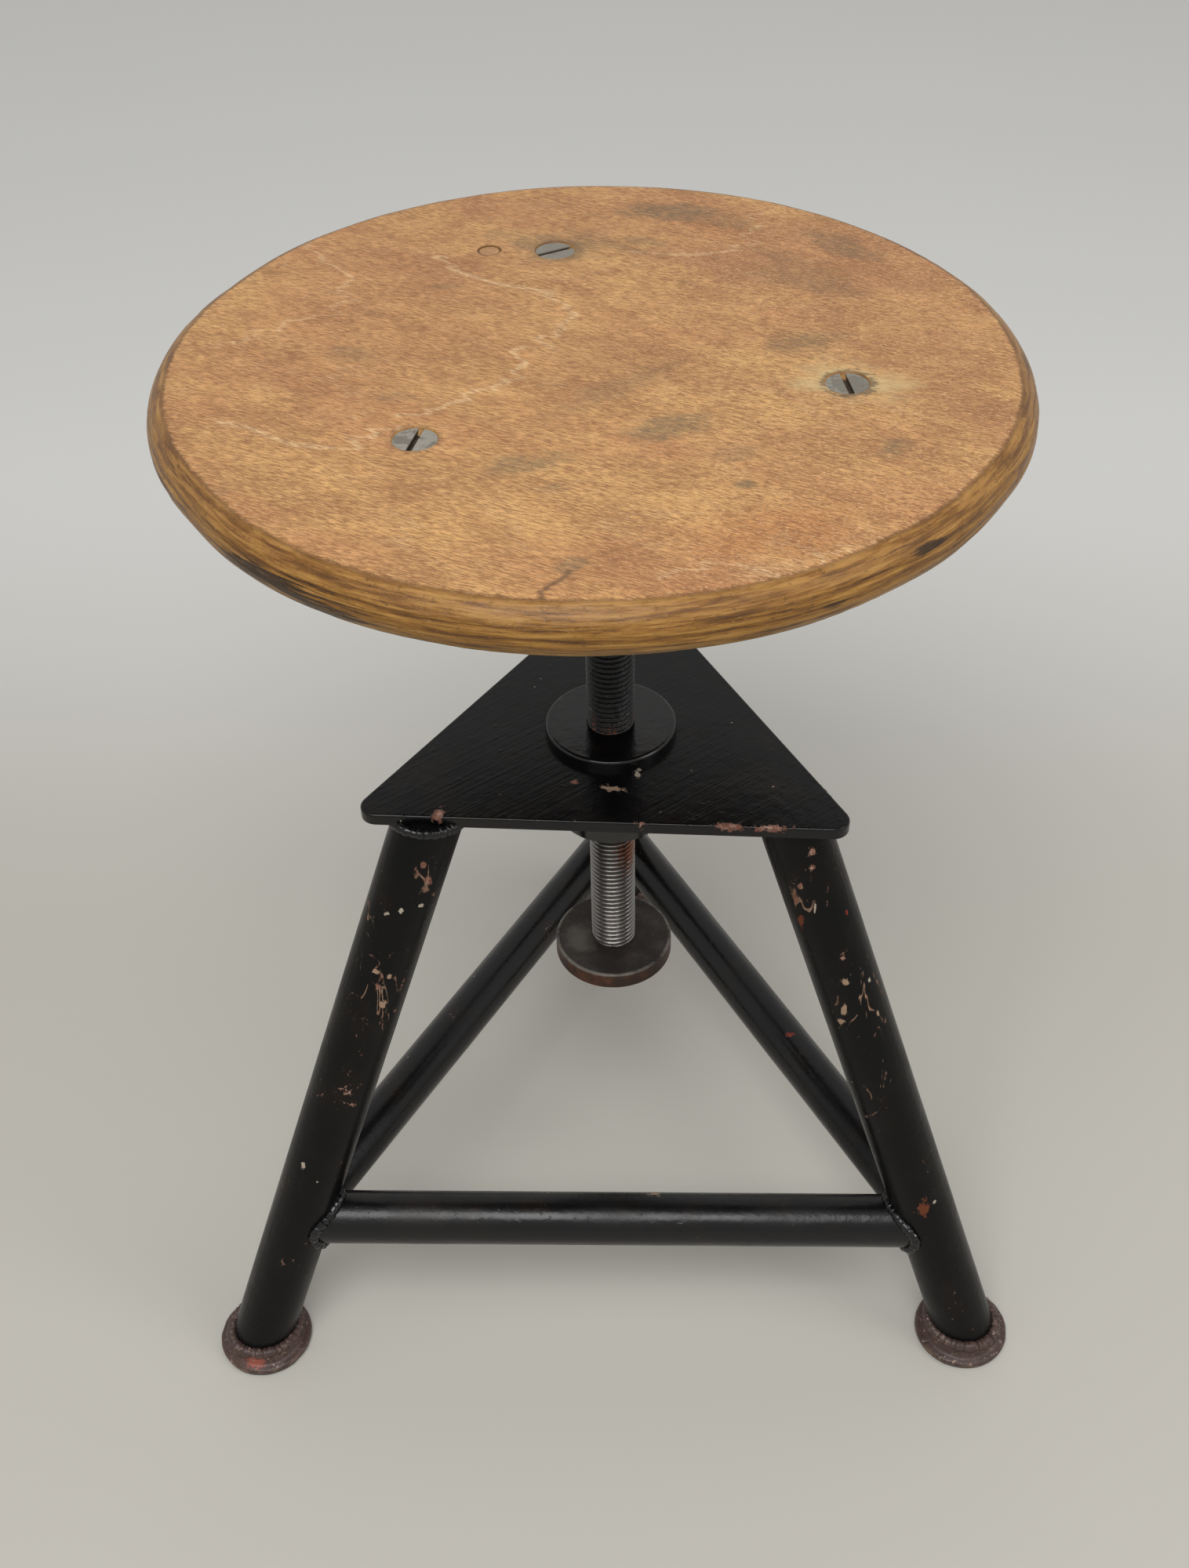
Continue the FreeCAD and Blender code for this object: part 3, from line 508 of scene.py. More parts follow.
def plywood(looks):
    """Worn face veneer on top, and streaks of end grain and glue round the rim."""
    r = Recipe("worn plywood")
    turn = looks.grain_turn
    x, _, z = r.split()

    # rosy and golden areas of the face, each with a ragged edge
    ragged = r.noise((0.030, 0.014, 0.03), 5.0, 0.65, turn=turn)
    ragged = r.swing(ragged, 2.0)
    broad = r.noise((0.10, 0.045, 0.1), 4.0, 0.6, turn=turn)
    face = r.mix(r.step(broad, 0.34, 0.66), looks.warm_wood, looks.light_wood)
    # colour, place and sizes on the board in mm, turn, amount
    areas = [
        (looks.warm_wood, (-100, -8), (76, 82), 10, 0.55),
        (looks.warm_wood, (70, 60), (100, 46), -35, 0.70),
        (looks.brown_wood, (62, 40), (52, 22), -30, 0.42),
        (looks.brown_wood, (128, -50), (46, 60), 30, 0.35),
        (looks.brown_wood, (10, -45), (70, 26), -28, 0.22),
        (looks.light_wood, (-20, -150), (130, 52), -6, 0.75),
        (looks.light_wood, (-128, -138), (60, 22), -35, 0.70),
        (looks.light_wood, (15, -85), (70, 26), -20, 0.35),
        ((0.58, 0.25, 0.085), (64, -176), (44, 24), 20, 0.70),
        ((0.74, 0.47, 0.22), (58, -201), (20, 9), 15, 0.50),
        ((0.60, 0.27, 0.10), (52, 84), (22, 20), 10, 0.50),
    ]
    for colour, spot, sizes, lean, amount in areas:
        face = r.over(face, colour, r.on_board(spot, sizes, lean, ragged, 0.35), amount)
    clouds = r.noise((0.022, 0.011, 0.02), 6.0, 0.68, turn=turn, offset=(0.4, 0.1, 0.0))
    face = r.over(face, (0.35, 0.150, 0.060), r.step(clouds, 0.47, 0.70), 0.50)
    face = r.over(face, (0.72, 0.42, 0.19), r.step(clouds, 0.50, 0.30), 0.35)

    # pale jagged growth lines
    spikes = r.noise((0.050, 0.0075, 0.05), 3.0, 0.55, turn=turn)
    grain = Vector((math.cos(math.radians(turn)), math.sin(math.radians(turn)), 0))
    shift = r.vector("MULTIPLY", r.minus(spikes, 0.5), grain * 0.034)
    jagged = r.vector("ADD", r.place, shift)
    flames = [
        [
            (-78, 58), (-70, 41), (-48, 26), (-26, 18), (-14, -6),
            (-24, -28), (-40, -42), (-36, -60), (-62, -80), (-76, -95),
        ],
        [(-152, -96), (-138, -101), (-121, -113), (-104, -117), (-92, -108), (-84, -98)],
        [(-146, 76), (-120, 36), (-116, 6), (-140, -14), (-158, -30)],
        [(69, 103), (67, 68), (50, 58), (36, 56), (12, 58)],
        [(20, -205), (46, -196), (66, -206), (96, -182)],
    ]
    wavy = r.vector("ADD", r.place, r.vector("MULTIPLY", r.minus(spikes, 0.5), grain * 0.010))
    lines = r.any_of([r.along(points, 2.6 * MM, jagged) for points in flames[:2]])
    faint = r.any_of([r.along(points, 2.0 * MM, jagged) for points in flames[2:]])
    lines = r.larger(lines, r.times(faint, 0.75))
    rings = r.noise((0.17, 0.07, 0.2), 1.0, 0.4, turn=turn, offset=(0.11, 0.04, 0.0))
    saw = r.math("FRACT", r.times(r.plus(rings, r.times(spikes, 0.14)), 9.0))
    zone = r.noise((0.11, 0.07, 0.1), 1.0, turn=turn, offset=(0.3, 0.2, 0.0))
    line = r.times(r.band(saw, (0.86, 0.985), (1.0, 0.985)), r.step(zone, 0.50, 0.64))
    lines = r.larger(lines, r.times(line, 0.38))
    face = r.over(face, (0.38, 0.165, 0.065), r.step(saw, 0.35, 1.0), 0.16)
    face = r.over(face, looks.growth_line, lines, 0.64)

    # fibre ticks and grains
    tick = r.noise((0.0046, 0.00040, 0.005), 2.0, 0.55, turn=turn)
    dense = r.noise((0.045, 0.028, 0.05), 3.0, 0.6, turn=turn, offset=(0.7, 0.1, 0.0))
    tick = r.step(r.plus(tick, r.times(dense, 0.26)), 0.58, 0.74)
    face = r.over(face, looks.fibre, tick, 0.78)
    grit = r.noise((0.0017, 0.0009, 0.001), 3.0, 0.65, turn=turn)
    rougher = r.blend(r.step(x, -0.06, 0.10), 0.42, 0.88)
    face = r.over(face, (0.25, 0.105, 0.045), r.step(grit, 0.54, 0.70), rougher)
    face = r.over(face, (0.78, 0.52, 0.30), r.step(grit, 0.44, 0.30), rougher)

    # dirt: soft smudges broken into grains and a knot, and a dark line along a crease. Each smear has its place and
    # sizes on the board in mm, its turn and its amount
    smears = [
        ((-20, 66), (36, 24), 0, 0.62),
        ((-52, 78), (11, 8), 0, 0.40),
        ((28, 103), (30, 13), -10, 0.75),
        ((56, 92), (26, 9), -30, 0.45),
        ((16, 70), (22, 8), -20, 0.50),
        ((106, 64), (30, 12), -42, 0.55),
        ((86, 34), (40, 20), -40, 0.34),
        ((81, -30), (30, 12), 20, 0.50),
        ((24, -103), (24, 12), 32, 0.72),
        ((2, -72), (46, 10), 42, 0.34),
        ((-32, -129), (28, 9), 22, 0.62),
        ((-18, -146), (14, 7), 20, 0.40),
        ((-103, -41), (24, 9), -20, 0.34),
        ((-85, -76), (12, 6), 0, 0.36),
        ((-73, 25), (12, 6), 0, 0.34),
        ((111, -118), (9, 10), 0, 0.60),
        ((53, -144), (6, 4), 0, 0.80),
        ((52, -120), (20, 8), 25, 0.34),
        ((-10, -197), (9, 5), 45, 0.62),
    ]
    clumps = r.noise((0.0042, 0.0022, 0.004), 4.0, 0.72, turn=turn)
    dirt = r.any_of([r.times(r.on_board(*smear, ragged, 0.3), amount) for *smear, amount in smears])
    scattered = r.noise((0.040, 0.022, 0.05), 6.0, 0.66, turn=turn, offset=(0.5, 0.9, 0.0))
    dirt = r.larger(dirt, r.times(r.step(scattered, 0.58, 0.78), 0.42))
    dirt = r.times(dirt, r.blend(r.step(clumps, 0.34, 0.62), 0.35, 1.0))
    face = r.mix(dirt, face, looks.smudge)
    crease = r.along([(-21, -221), (-17, -210), (-10, -201)], 2.2 * MM, wavy, 0.0)
    face = r.over(face, (0.13, 0.072, 0.038), crease, 0.72)

    # pale halo and dirt round the right screw, and a brown ring round the plug
    halo = r.on_board((98, -66), (31, 23), -25.0, ragged, 0.3, 0.02)
    face = r.over(face, (0.68, 0.50, 0.24), halo, 0.80)
    # place and radius on the board in mm, amount
    screw_dirt = [((99.2, -66.8), 13.2, 0.75), ((-23.5, 61.0), 13.6, 0.40), ((-73.7, -109.2), 12.0, 0.40)]
    for spot, reach, amount in screw_dirt:
        soiled = r.on_board(spot, (reach, reach), 0.0, r.swing(clumps, 1.1), 0.72, 0.02)
        face = r.over(face, (0.10, 0.070, 0.040), soiled, amount)
    from_plug = r.from_axis(middle("seat_plug"))
    ring = r.band(from_plug, (4.1 * MM, 4.9 * MM), (6.2 * MM, 5.4 * MM))
    face = r.over(face, (0.40, 0.24, 0.14), r.step(from_plug, 5.0 * MM, 4.5 * MM), 0.35)
    face = r.over(face, (0.16, 0.075, 0.035), ring, 0.85)

    # rim: plies as level bands, broken by long streaks
    upright = r.add("ShaderNodeNewGeometry").outputs["Normal"]
    slope = r.math("ABSOLUTE", r.split(upright)[2])
    wavering = r.noise((0.06, 0.06, 0.02), 3.0, 0.6)
    height = r.plus(z, r.times(wavering, 0.0034))
    ply = r.math("PINGPONG", r.math("DIVIDE", height, looks.ply), 1.0)
    streak = r.noise((0.026, 0.026, 0.00125), 6.0, 0.70)
    tone = r.plus(r.times(ply, 0.12), streak)
    tone = r.plus(tone, r.times(r.noise((0.05, 0.05, 0.012), 3.0, 0.6), 0.24))
    rim = r.ramp(
        tone,
        [
            (0.47, (0.050, 0.022, 0.006)),
            (0.57, (0.140, 0.058, 0.011)),
            (0.65, looks.edge_brown),
            (0.74, (0.34, 0.165, 0.030)),
            (0.86, looks.edge_gold),
        ],
    )
    low_down = r.step(z, BOARD_LOW.z + 0.010, BOARD_LOW.z + 0.002)
    golden = r.mix(r.step(streak, 0.38, 0.62), (0.13, 0.058, 0.010), (0.50, 0.285, 0.065))
    rim = r.over(rim, golden, low_down, 0.62)
    underline = r.step(z, BOARD_LOW.z + 0.0028, BOARD_LOW.z + 0.0012)
    rim = r.over(rim, (0.050, 0.026, 0.010), underline, 0.60)
    high_up = r.step(z, BOARD_HIGH.z - 0.0095, BOARD_HIGH.z - 0.0020)
    worn_edge = r.mix(r.step(streak, 0.40, 0.60), (0.19, 0.082, 0.020), (0.42, 0.215, 0.070))
    rim = r.over(rim, worn_edge, high_up, 0.40)
    crumbs = r.noise((0.0030, 0.0030, 0.0016), 4.0, 0.65)
    rim = r.over(rim, (0.44, 0.24, 0.075), r.step(crumbs, 0.60, 0.72), 0.45)
    rim = r.over(rim, (0.050, 0.024, 0.010), r.step(crumbs, 0.42, 0.32), 0.45)
    tatter = r.swing(streak, 3.4)
    # place, sizes, turn, amount
    stains = [
        ((-0.122, -0.184, 0.543), (0.034, 0.022, 0.0050), -36, 0.95),
        ((-0.098, -0.200, 0.538), (0.022, 0.016, 0.0045), -32, 0.90),
        ((0.083, -0.205, 0.543), (0.006, 0.006, 0.0022), 30, 0.75),
        ((0.120, -0.178, 0.549), (0.009, 0.009, 0.0022), 40, 0.85),
        ((-0.186, -0.085, 0.541), (0.012, 0.026, 0.0045), 0, 0.70),
    ]
    stained = r.any_of([r.times(r.patch(*stain, tatter, 0.5), amount) for *stain, amount in stains])
    old_stain = r.step(r.noise((0.03, 0.03, 0.005), 5.0, 0.66, offset=(0.2, 0.4, 0.0)), 0.62, 0.76)
    stained = r.larger(stained, r.times(old_stain, 0.50))
    rim = r.mix(stained, rim, looks.edge_dark)

    bare = r.plus(slope, r.swing(clumps, 0.10))
    on_face = r.step(bare, 0.935, 0.985)
    colour = r.mix(on_face, rim, face)
    edge_line = r.band(bare, (0.88, 0.950), (0.992, 0.960))
    colour = r.over(colour, (0.15, 0.068, 0.022), edge_line, 0.45)
    # painted shade: the underside of the board is darkened nearly to black
    painted_underside_shade = r.step(z, BOARD_LOW.z + 0.0012, BOARD_LOW.z + 0.0002)
    colour = r.over(colour, (0.060, 0.034, 0.018), painted_underside_shade, 0.88)

    varnish = r.patch((-0.020, -0.222, BOARD_HIGH.z - 0.004), (0.075, 0.030, 0.010), 0.0, r.times(tatter, 0.2), 0.2)
    rim_gloss = r.blend(streak, 0.24, 0.46)
    rim_gloss = r.blend(varnish, rim_gloss, 0.16)
    gloss = r.blend(on_face, rim_gloss, r.blend(dirt, 0.50, 0.66))
    grooves = r.plus(r.times(tick, -0.45), r.times(grit, -0.45))
    rough_rim = r.noise((0.018, 0.018, 0.0009), 5.0, 0.68)
    rim_height = r.plus(r.times(rough_rim, 2.2), r.times(crumbs, 1.5))
    normal = r.bump(r.blend(on_face, rim_height, grooves), 0.30 * MM, 0.8)
    return r.finish(colour, gloss, normal, Coat_Weight=0.08, Coat_Roughness=0.20, Specular_IOR_Level=0.32)


def zinc(looks):
    """Dull zinc with dark smudges and dirt in the slot."""
    r = Recipe("dull zinc")
    cloud = r.noise((0.006, 0.005, 0.005), 5.0, 0.65)
    fine = r.noise((0.0011, 0.0011, 0.0011), 4.0, 0.65)
    colour = r.mix(r.step(fine, 0.35, 0.70), looks.zinc, (0.36, 0.335, 0.285))
    soiled = r.step(cloud, 0.50, 0.66)
    ragged = r.swing(cloud, 3.0)
    # place and sizes on the board in mm, amount
    smudges = [
        ((-79.5, -109.0), (5.0, 4.6), 0.9),
        ((101.5, -67.0), (15.0, 15.0), 0.85),
        ((-25.0, 61.5), (15.0, 13.0), 0.62),
    ]
    for spot, sizes, amount in smudges:
        soiled = r.larger(soiled, r.times(r.on_board(spot, sizes, 0.0, ragged, 0.4, 0.01), amount))
    colour = r.over(colour, (0.110, 0.095, 0.066), soiled, 0.85)
    z = r.split()[2]
    deep = r.step(z, BOARD_HIGH.z - 0.7 * MM, BOARD_HIGH.z - 1.3 * MM)
    crust = r.mix(r.step(fine, 0.42, 0.62), looks.dirt, (0.085, 0.055, 0.030))
    colour = r.mix(deep, colour, crust)
    metallic = r.times(r.minus(1.0, r.larger(deep, soiled)), 0.55)
    gloss = r.blend(deep, r.blend(cloud, 0.34, 0.60), 0.9)
    normal = r.bump(r.plus(cloud, r.times(fine, 0.5)), 0.14 * MM, 0.8)
    return r.finish(colour, gloss, normal, metallic)


# Finishes of the frame


def enamel(
    name, looks, strokes=(0.030, 0.0022, 0.03), turn=0.0, chips=0.3, marks=(), scratched=(), dullness=0.0, shine=0.5
):
    """Brushed black enamel. The chips show primer. Each mark is a place, its size in mm, its turn and its
    colour, and each scratched zone a place and its size in mm."""
    r = Recipe(name)
    cloud = r.noise((0.030, 0.030, 0.045), 5.0, 0.62)
    flake = r.noise((0.0030, 0.0030, 0.0042), 5.0, 0.70)
    mark = r.plus(r.times(cloud, 0.7), flake)
    chip = r.step(mark, 1.16 - 0.18 * chips, 1.18 - 0.18 * chips)
    tint = r.mix(r.step(flake, 0.44, 0.60), looks.primer, (0.42, 0.25, 0.19))
    brownish = r.times(r.step(cloud, 0.46, 0.72), 0.5)
    colour = r.mix(brownish, looks.enamel, (0.013, 0.008, 0.005))
    colour = r.mix(chip, colour, r.mix(r.step(cloud, 0.55, 0.75), (0.085, 0.045, 0.030), tint))
    ragged = r.swing(flake, 4.4)
    if scratched:
        curl = r.noise((0.0100, 0.0100, 0.0320), 1.0, 0.4, distortion=1.2)
        curl = r.step(r.math("ABSOLUTE", r.minus(curl, 0.5)), 0.034, 0.014)
        broken = r.step(r.noise((0.0075, 0.0075, 0.0120), 2.0, offset=(0.2, 0.0, 0.4)), 0.44, 0.52)
        zone = r.any_of([r.patch(place, Vector(sizes) * MM, 0.0, ragged, 0.3) for place, sizes in scratched])
        scribble = r.times(r.times(curl, broken), zone)
        colour = r.mix(scribble, colour, r.mix(r.step(flake, 0.44, 0.58), (0.22, 0.12, 0.080), looks.bare))
        chip = r.larger(chip, scribble)
    tints = {
        "pink": tint,
        "pale": looks.fleck,
        "beige": looks.bare,
        "rust": (0.13, 0.040, 0.018),
        "red": (0.20, 0.030, 0.020),
    }
    for place, sizes, lean, kind in marks:
        spot = r.patch(place, Vector(sizes) * MM, lean, ragged, 0.75)
        colour = r.mix(spot, colour, tints[kind])
        chip = r.larger(chip, spot)
    cells = r.add("ShaderNodeTexVoronoi", {"Vector": r.mapped((0.011, 0.011, 0.013)), "Scale": 1.0})
    fleck = r.step(cells.outputs["Distance"], 0.060, 0.035)
    fleck = r.times(fleck, r.step(r.noise((0.03, 0.03, 0.03)), 0.54, 0.60))
    colour = r.over(colour, looks.fleck, fleck, 0.8)
    dull = r.noise((0.045, 0.045, 0.045), 4.0, 0.62)
    gloss = r.blend(r.step(dull, 0.35, 0.75), looks.gloss + dullness, looks.gloss + dullness + 0.16)
    gloss = r.blend(chip, gloss, 0.80)

    brush = r.noise(strokes, 4.0, 0.6, turn=turn)
    orange_peel = r.noise((0.006, 0.006, 0.006), 3.0, 0.5)
    runs = r.plus(r.times(brush, 0.9), r.times(orange_peel, 0.9))
    lumps = r.step(r.noise((0.0030, 0.0030, 0.0030), 2.0), 0.66, 0.76)
    runs = r.plus(runs, r.times(lumps, 0.4))
    normal = r.bump(runs, looks.stroke)
    normal = r.bump(r.minus(1.0, chip), 0.20 * MM, under=normal)
    return r.finish(colour, gloss, normal, Specular_IOR_Level=shine)


def bare_thread(looks):
    """Bright worn steel below the collar, thick black paint above it, rust where they meet."""
    r = Recipe("spindle steel")
    z = r.split()[2]
    around = r.from_axis(AXIS)
    crest = r.step(around, SPINDLE_RADIUS - looks.depth * 0.75, SPINDLE_RADIUS - looks.depth * 0.15)
    streak = r.noise((0.004, 0.004, 0.03), 4.0, 0.62)
    fine = r.noise((0.0016, 0.0016, 0.0010), 4.0, 0.65)
    steel = r.mix(crest, looks.dull, looks.bright)
    steel = r.mix(r.step(streak, 0.50, 0.75), steel, (0.19, 0.165, 0.15))
    rusted_spot = (AXIS.x + 0.008, AXIS.y - 0.006, COLLAR_LOW.z - 0.024)
    rusted = r.patch(rusted_spot, (0.008, 0.010, 0.018), 0.0, r.swing(fine, 4.0), 0.3)
    steel = r.over(steel, looks.rust, rusted, 0.8)
    edge = r.plus(z, r.swing(streak, 0.006))
    painted = r.step(edge, COLLAR_HIGH.z - 0.0045, COLLAR_HIGH.z - 0.0015)
    worn = r.step(r.noise((0.004, 0.004, 0.0022), 4.0, 0.7), 0.62, 0.74)
    paint = r.over((0.010, 0.010, 0.010), (0.15, 0.14, 0.13), worn, crest)
    near_collar = r.step(z, COLLAR_HIGH.z + 0.014, COLLAR_HIGH.z)
    rusty = r.times(r.step(streak, 0.52, 0.66), near_collar)
    paint = r.over(paint, looks.rust, rusty, 0.7)
    colour = r.mix(painted, steel, paint)
    metallic = r.blend(painted, 1.0, 0.0)
    gloss = r.blend(painted, r.blend(crest, 0.50, 0.25), 0.22)
    rough = r.times(fine, r.blend(painted, 0.35, 1.8))
    return r.finish(colour, gloss, r.bump(rough, 0.25 * MM, 0.9), metallic)


def stop_steel(looks):
    """Dark worn steel with turning rings on its face, rust on its side and a painted glare on the left of its top."""
    r = Recipe("stop disc steel")
    around = r.from_axis(AXIS)
    z = r.split()[2]
    cloud = r.noise((0.014, 0.010, 0.014), 5.0, 0.65)
    fine = r.noise((0.0016, 0.0016, 0.0016), 4.0, 0.65)
    rings = r.noise(None, 2.0, where=r.vector("MULTIPLY", r.times(around, 900.0), (1.0, 0.0, 0.0)))
    colour = r.mix(r.step(cloud, 0.40, 0.75), looks.disc, (0.060, 0.050, 0.042))
    colour = r.over(colour, (0.026, 0.020, 0.017), rings, 0.35)
    colour = r.over(colour, (0.11, 0.09, 0.075), r.step(fine, 0.60, 0.72), 0.5)
    # the side and the rubbed edge, by how far they lie inside the rim and under the top
    inward = r.minus((DISC_HIGH.x - DISC_LOW.x) / 2, around)
    under = r.minus(DISC_HIGH.z, z)
    side = r.times(r.step(inward, 1.3 * MM, 0.5 * MM), r.step(under, 0.4 * MM, 1.4 * MM))
    colour = r.mix(side, colour, r.mix(r.step(cloud, 0.45, 0.65), (0.036, 0.019, 0.013), (0.10, 0.038, 0.018)))
    rubbed = r.times(r.step(inward, 1.9 * MM, 1.2 * MM), r.step(under, 1.2 * MM, 0.5 * MM))
    colour = r.over(colour, (0.16, 0.14, 0.12), rubbed, r.step(cloud, 0.35, 0.60))
    # painted highlight: a pale patch left of the axis on the disc's top stands in for glare
    glare_spot = (AXIS.x - 0.019, AXIS.y - 0.004, DISC_HIGH.z)
    worn = r.patch(glare_spot, (0.011, 0.014, 0.01), 0.0, r.swing(cloud, 2.0), 0.2)
    colour = r.over(colour, (0.20, 0.180, 0.155), worn, 0.40)
    height = r.plus(r.times(fine, 0.6), r.times(rings, 0.3))
    return r.finish(colour, r.blend(cloud, 0.34, 0.58), r.bump(height, 0.16 * MM, 0.9), 0.10, Specular_IOR_Level=0.32)


def foot_finish(looks):
    """Worn brown paint over rust, with bright rubbed spots."""
    r = Recipe("foot paint")
    cloud = r.noise((0.010, 0.010, 0.006), 6.0, 0.68)
    fine = r.noise((0.0024, 0.0024, 0.0018), 5.0, 0.68)
    z = r.split()[2]
    colour = r.mix(r.step(cloud, 0.40, 0.62), (0.060, 0.034, 0.028), looks.foot)
    colour = r.mix(r.step(fine, 0.58, 0.68), colour, (0.36, 0.25, 0.20))
    colour = r.over(colour, (0.020, 0.012, 0.010), r.step(fine, 0.42, 0.30), 0.7)
    ragged = r.swing(fine, 3.0)
    leg = LEG_FOOT["front_left"]
    red = r.patch((leg.x - 0.003, leg.y - 0.021, 0.007), (0.007, 0.004, 0.005), 0.0, ragged, 0.4)
    colour = r.over(colour, (0.36, 0.085, 0.055), red, 0.8)
    colour = r.over(colour, looks.rust, r.step(cloud, 0.62, 0.72), 0.7)
    colour = r.mix(r.step(z, 0.0026, 0.0012), colour, (0.020, 0.015, 0.011))
    rim = r.band(z, (0.0020, 0.0028), (0.0042, 0.0034))
    colour = r.over(colour, (0.26, 0.165, 0.085), rim, r.times(r.step(cloud, 0.45, 0.60), 0.6))
    gloss = r.blend(fine, 0.20, 0.52)
    height = r.plus(cloud, r.times(fine, 0.8))
    return r.finish(colour, gloss, r.bump(height, 0.40 * MM, 0.9), 0.1)


# Operators: one for each piece or group of like pieces


class STOOL_OT_seat_board(bpy.types.Operator):
    """Make the worn plywood board with its countersunk holes"""

    bl_idname = "stool.seat_board"
    bl_label = "Seat Board"

    def execute(self, context):
        looks = context.scene.stool_seat
        rounding = looks.rounding
        bends = [math.radians(90 * step / RIM_STEPS) for step in range(RIM_STEPS + 1)]
        # radius and height, from the middle of the top round to the middle of the underside
        outline = [(BOARD_RADIUS * share, BOARD_THICKNESS) for share in (0.12, 0.3, 0.48, 0.64, 0.76, 0.85, 0.91)]
        for bend in bends:
            out, down = 1 - math.sin(bend), 1 - math.cos(bend)
            outline.append((BOARD_RADIUS - rounding * out, BOARD_THICKNESS - rounding * down))
        for bend in bends[1:]:
            out, up = 1 - math.cos(bend), 1 - math.sin(bend)
            outline.append((BOARD_RADIUS - rounding * out, rounding * up))
        outline += [(BOARD_RADIUS * share, 0.0) for share in (0.90, 0.7, 0.45, 0.2)]
        shape = bmesh.new()
        around = spokes(count=BOARD_CORNERS)
        rows = [[shape.verts.new(self.worn(looks, out, *place)) for out in around] for place in outline]
        half = Vector((0, 0, BOARD_THICKNESS / 2))
        close_rows(shape, rows, (BOARD_MIDDLE + half, BOARD_MIDDLE - half))
        board = finish_mesh("seat_board_worn", shape, plywood(looks), 40.0)
        self.bore(board)
        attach(board, "seat")
        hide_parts("seat_board")
        return {"FINISHED"}

    def worn(self, looks, out, radius, height):
        """A point of the board, drawn in where the rim is rubbed, dented or worn along a ply."""
        angle = math.degrees(math.atan2(out.y, out.x))
        rim = max(0.0, (radius / BOARD_RADIUS - 0.86) / 0.14)
        drawn = looks.wear * (0.55 + 0.9 * noise.noise(out * 1.7 + Vector((4.1, 0.3, 0))))
        for turned, width, depth in RUBBED_FLATS:
            off = math.remainder(angle - turned, 360.0) / width
            drawn += depth * MM * math.exp(-off * off)
        drawn = max(0.0, drawn)
        spot = out * BOARD_RADIUS / MM
        along = noise.noise(Vector((spot.x / 22, spot.y / 22, height / MM * 0.55))) * 0.55
        fine = noise.noise(Vector((spot.x / 5, spot.y / 5, height / MM * 0.9 + 9))) * 0.22
        groove = max(0.0, along + fine + 0.05) * MM
        drawn += groove * min(1.0, rim * 1.6)
        sag = rim * drawn * 0.5
        lift = -sag * 0.5 if height > BOARD_THICKNESS / 2 else sag * 0.3
        point = BOARD_MIDDLE + out * (radius - drawn * rim)
        point.z = BOARD_LOW.z + min(BOARD_THICKNESS, max(0.0, height + lift * rim))
        return point

    def bore(self, board):
        """Cut the countersinks and the filled hole out of the board."""
        tool = bmesh.new()
        for low, high in islands("seat_screws"):
            place = (low + high) / 2
            reach = (high.x - low.x) / 2 + SCREW_GAP
            place.z = BOARD_HIGH.z + (TOOL_OVER - COUNTERSINK) / 2
            peg(tool, place, max(1e-5, reach - COUNTERSINK), reach + TOOL_OVER, COUNTERSINK + TOOL_OVER, 64)
            place.z = BOARD_MIDDLE.z
            peg(tool, place, SCREW_HOLE, SCREW_HOLE, 0.04)
        low, high = corners("seat_plug")
        reach = (high.x - low.x) / 2 + PLUG_GAP
        peg(tool, Vector((*middle("seat_plug").xy, high.z)), reach, reach, 0.012)
        cutter = finish_mesh("seat_holes", tool, board.data.materials[0], 30.0)
        cut = board.modifiers.new("holes", "BOOLEAN")
        cut.object = cutter
        cut.operation = "DIFFERENCE"
        cut.solver = "EXACT"
        cut.use_self = True
        mesh = bpy.data.meshes.new_from_object(board.evaluated_get(bpy.context.evaluated_depsgraph_get()))
        board.modifiers.clear()
        board.data = mesh
        mesh.set_sharp_from_angle(angle=math.radians(40.0))
        bpy.data.objects.remove(cutter)


def islands(node):
    """The lowest and highest corner of each loose part of a solid."""
    shape = bmesh.new()
    shape.from_mesh(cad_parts[node].data)
    bmesh.ops.remove_doubles(shape, verts=shape.verts, dist=1e-6)
    found, seen = [], set()
    for start in shape.verts:
        if start in seen:
            continue
        part, queue = [], [start]
        seen.add(start)
        while queue:
            vert = queue.pop()
            part.append(vert.co.copy())
            for edge in vert.link_edges:
                other = edge.other_vert(vert)
                if other not in seen:
                    seen.add(other)
                    queue.append(other)
        low = Vector(min(point[axis] for point in part) for axis in range(3))
        high = Vector(max(point[axis] for point in part) for axis in range(3))
        found.append((low, high))
    shape.free()
    return found


def peg(shape, centre, low_radius, high_radius, length, segments=48):
    """Add an upright cylinder, or a cone that is cut off."""
    bmesh.ops.create_cone(
        shape, cap_ends=True, segments=segments, radius1=low_radius, radius2=high_radius, depth=length,
        matrix=Matrix.Translation(centre)
    )


class STOOL_OT_seat_fasteners(bpy.types.Operator):
    """Finish the seat screws, plug, washers, nuts and what carries the board"""

    bl_idname = "stool.seat_fasteners"
    bl_label = "Seat Fasteners"

    def execute(self, context):
        steel = zinc(context.scene.stool_steel)
        for node in ("seat_screws", "seat_washers", "seat_nuts", "keeper_washer", "keeper_screw"):
            dress(node, steel)
        dress("seat_plug", plywood(context.scene.stool_seat))
        dark = enamel("seat plate enamel", context.scene.stool_frame)
        for node in ("seat_plate", "seat_hub"):
            dress(node, dark)
        dress("hub_pin", steel)
        return {"FINISHED"}


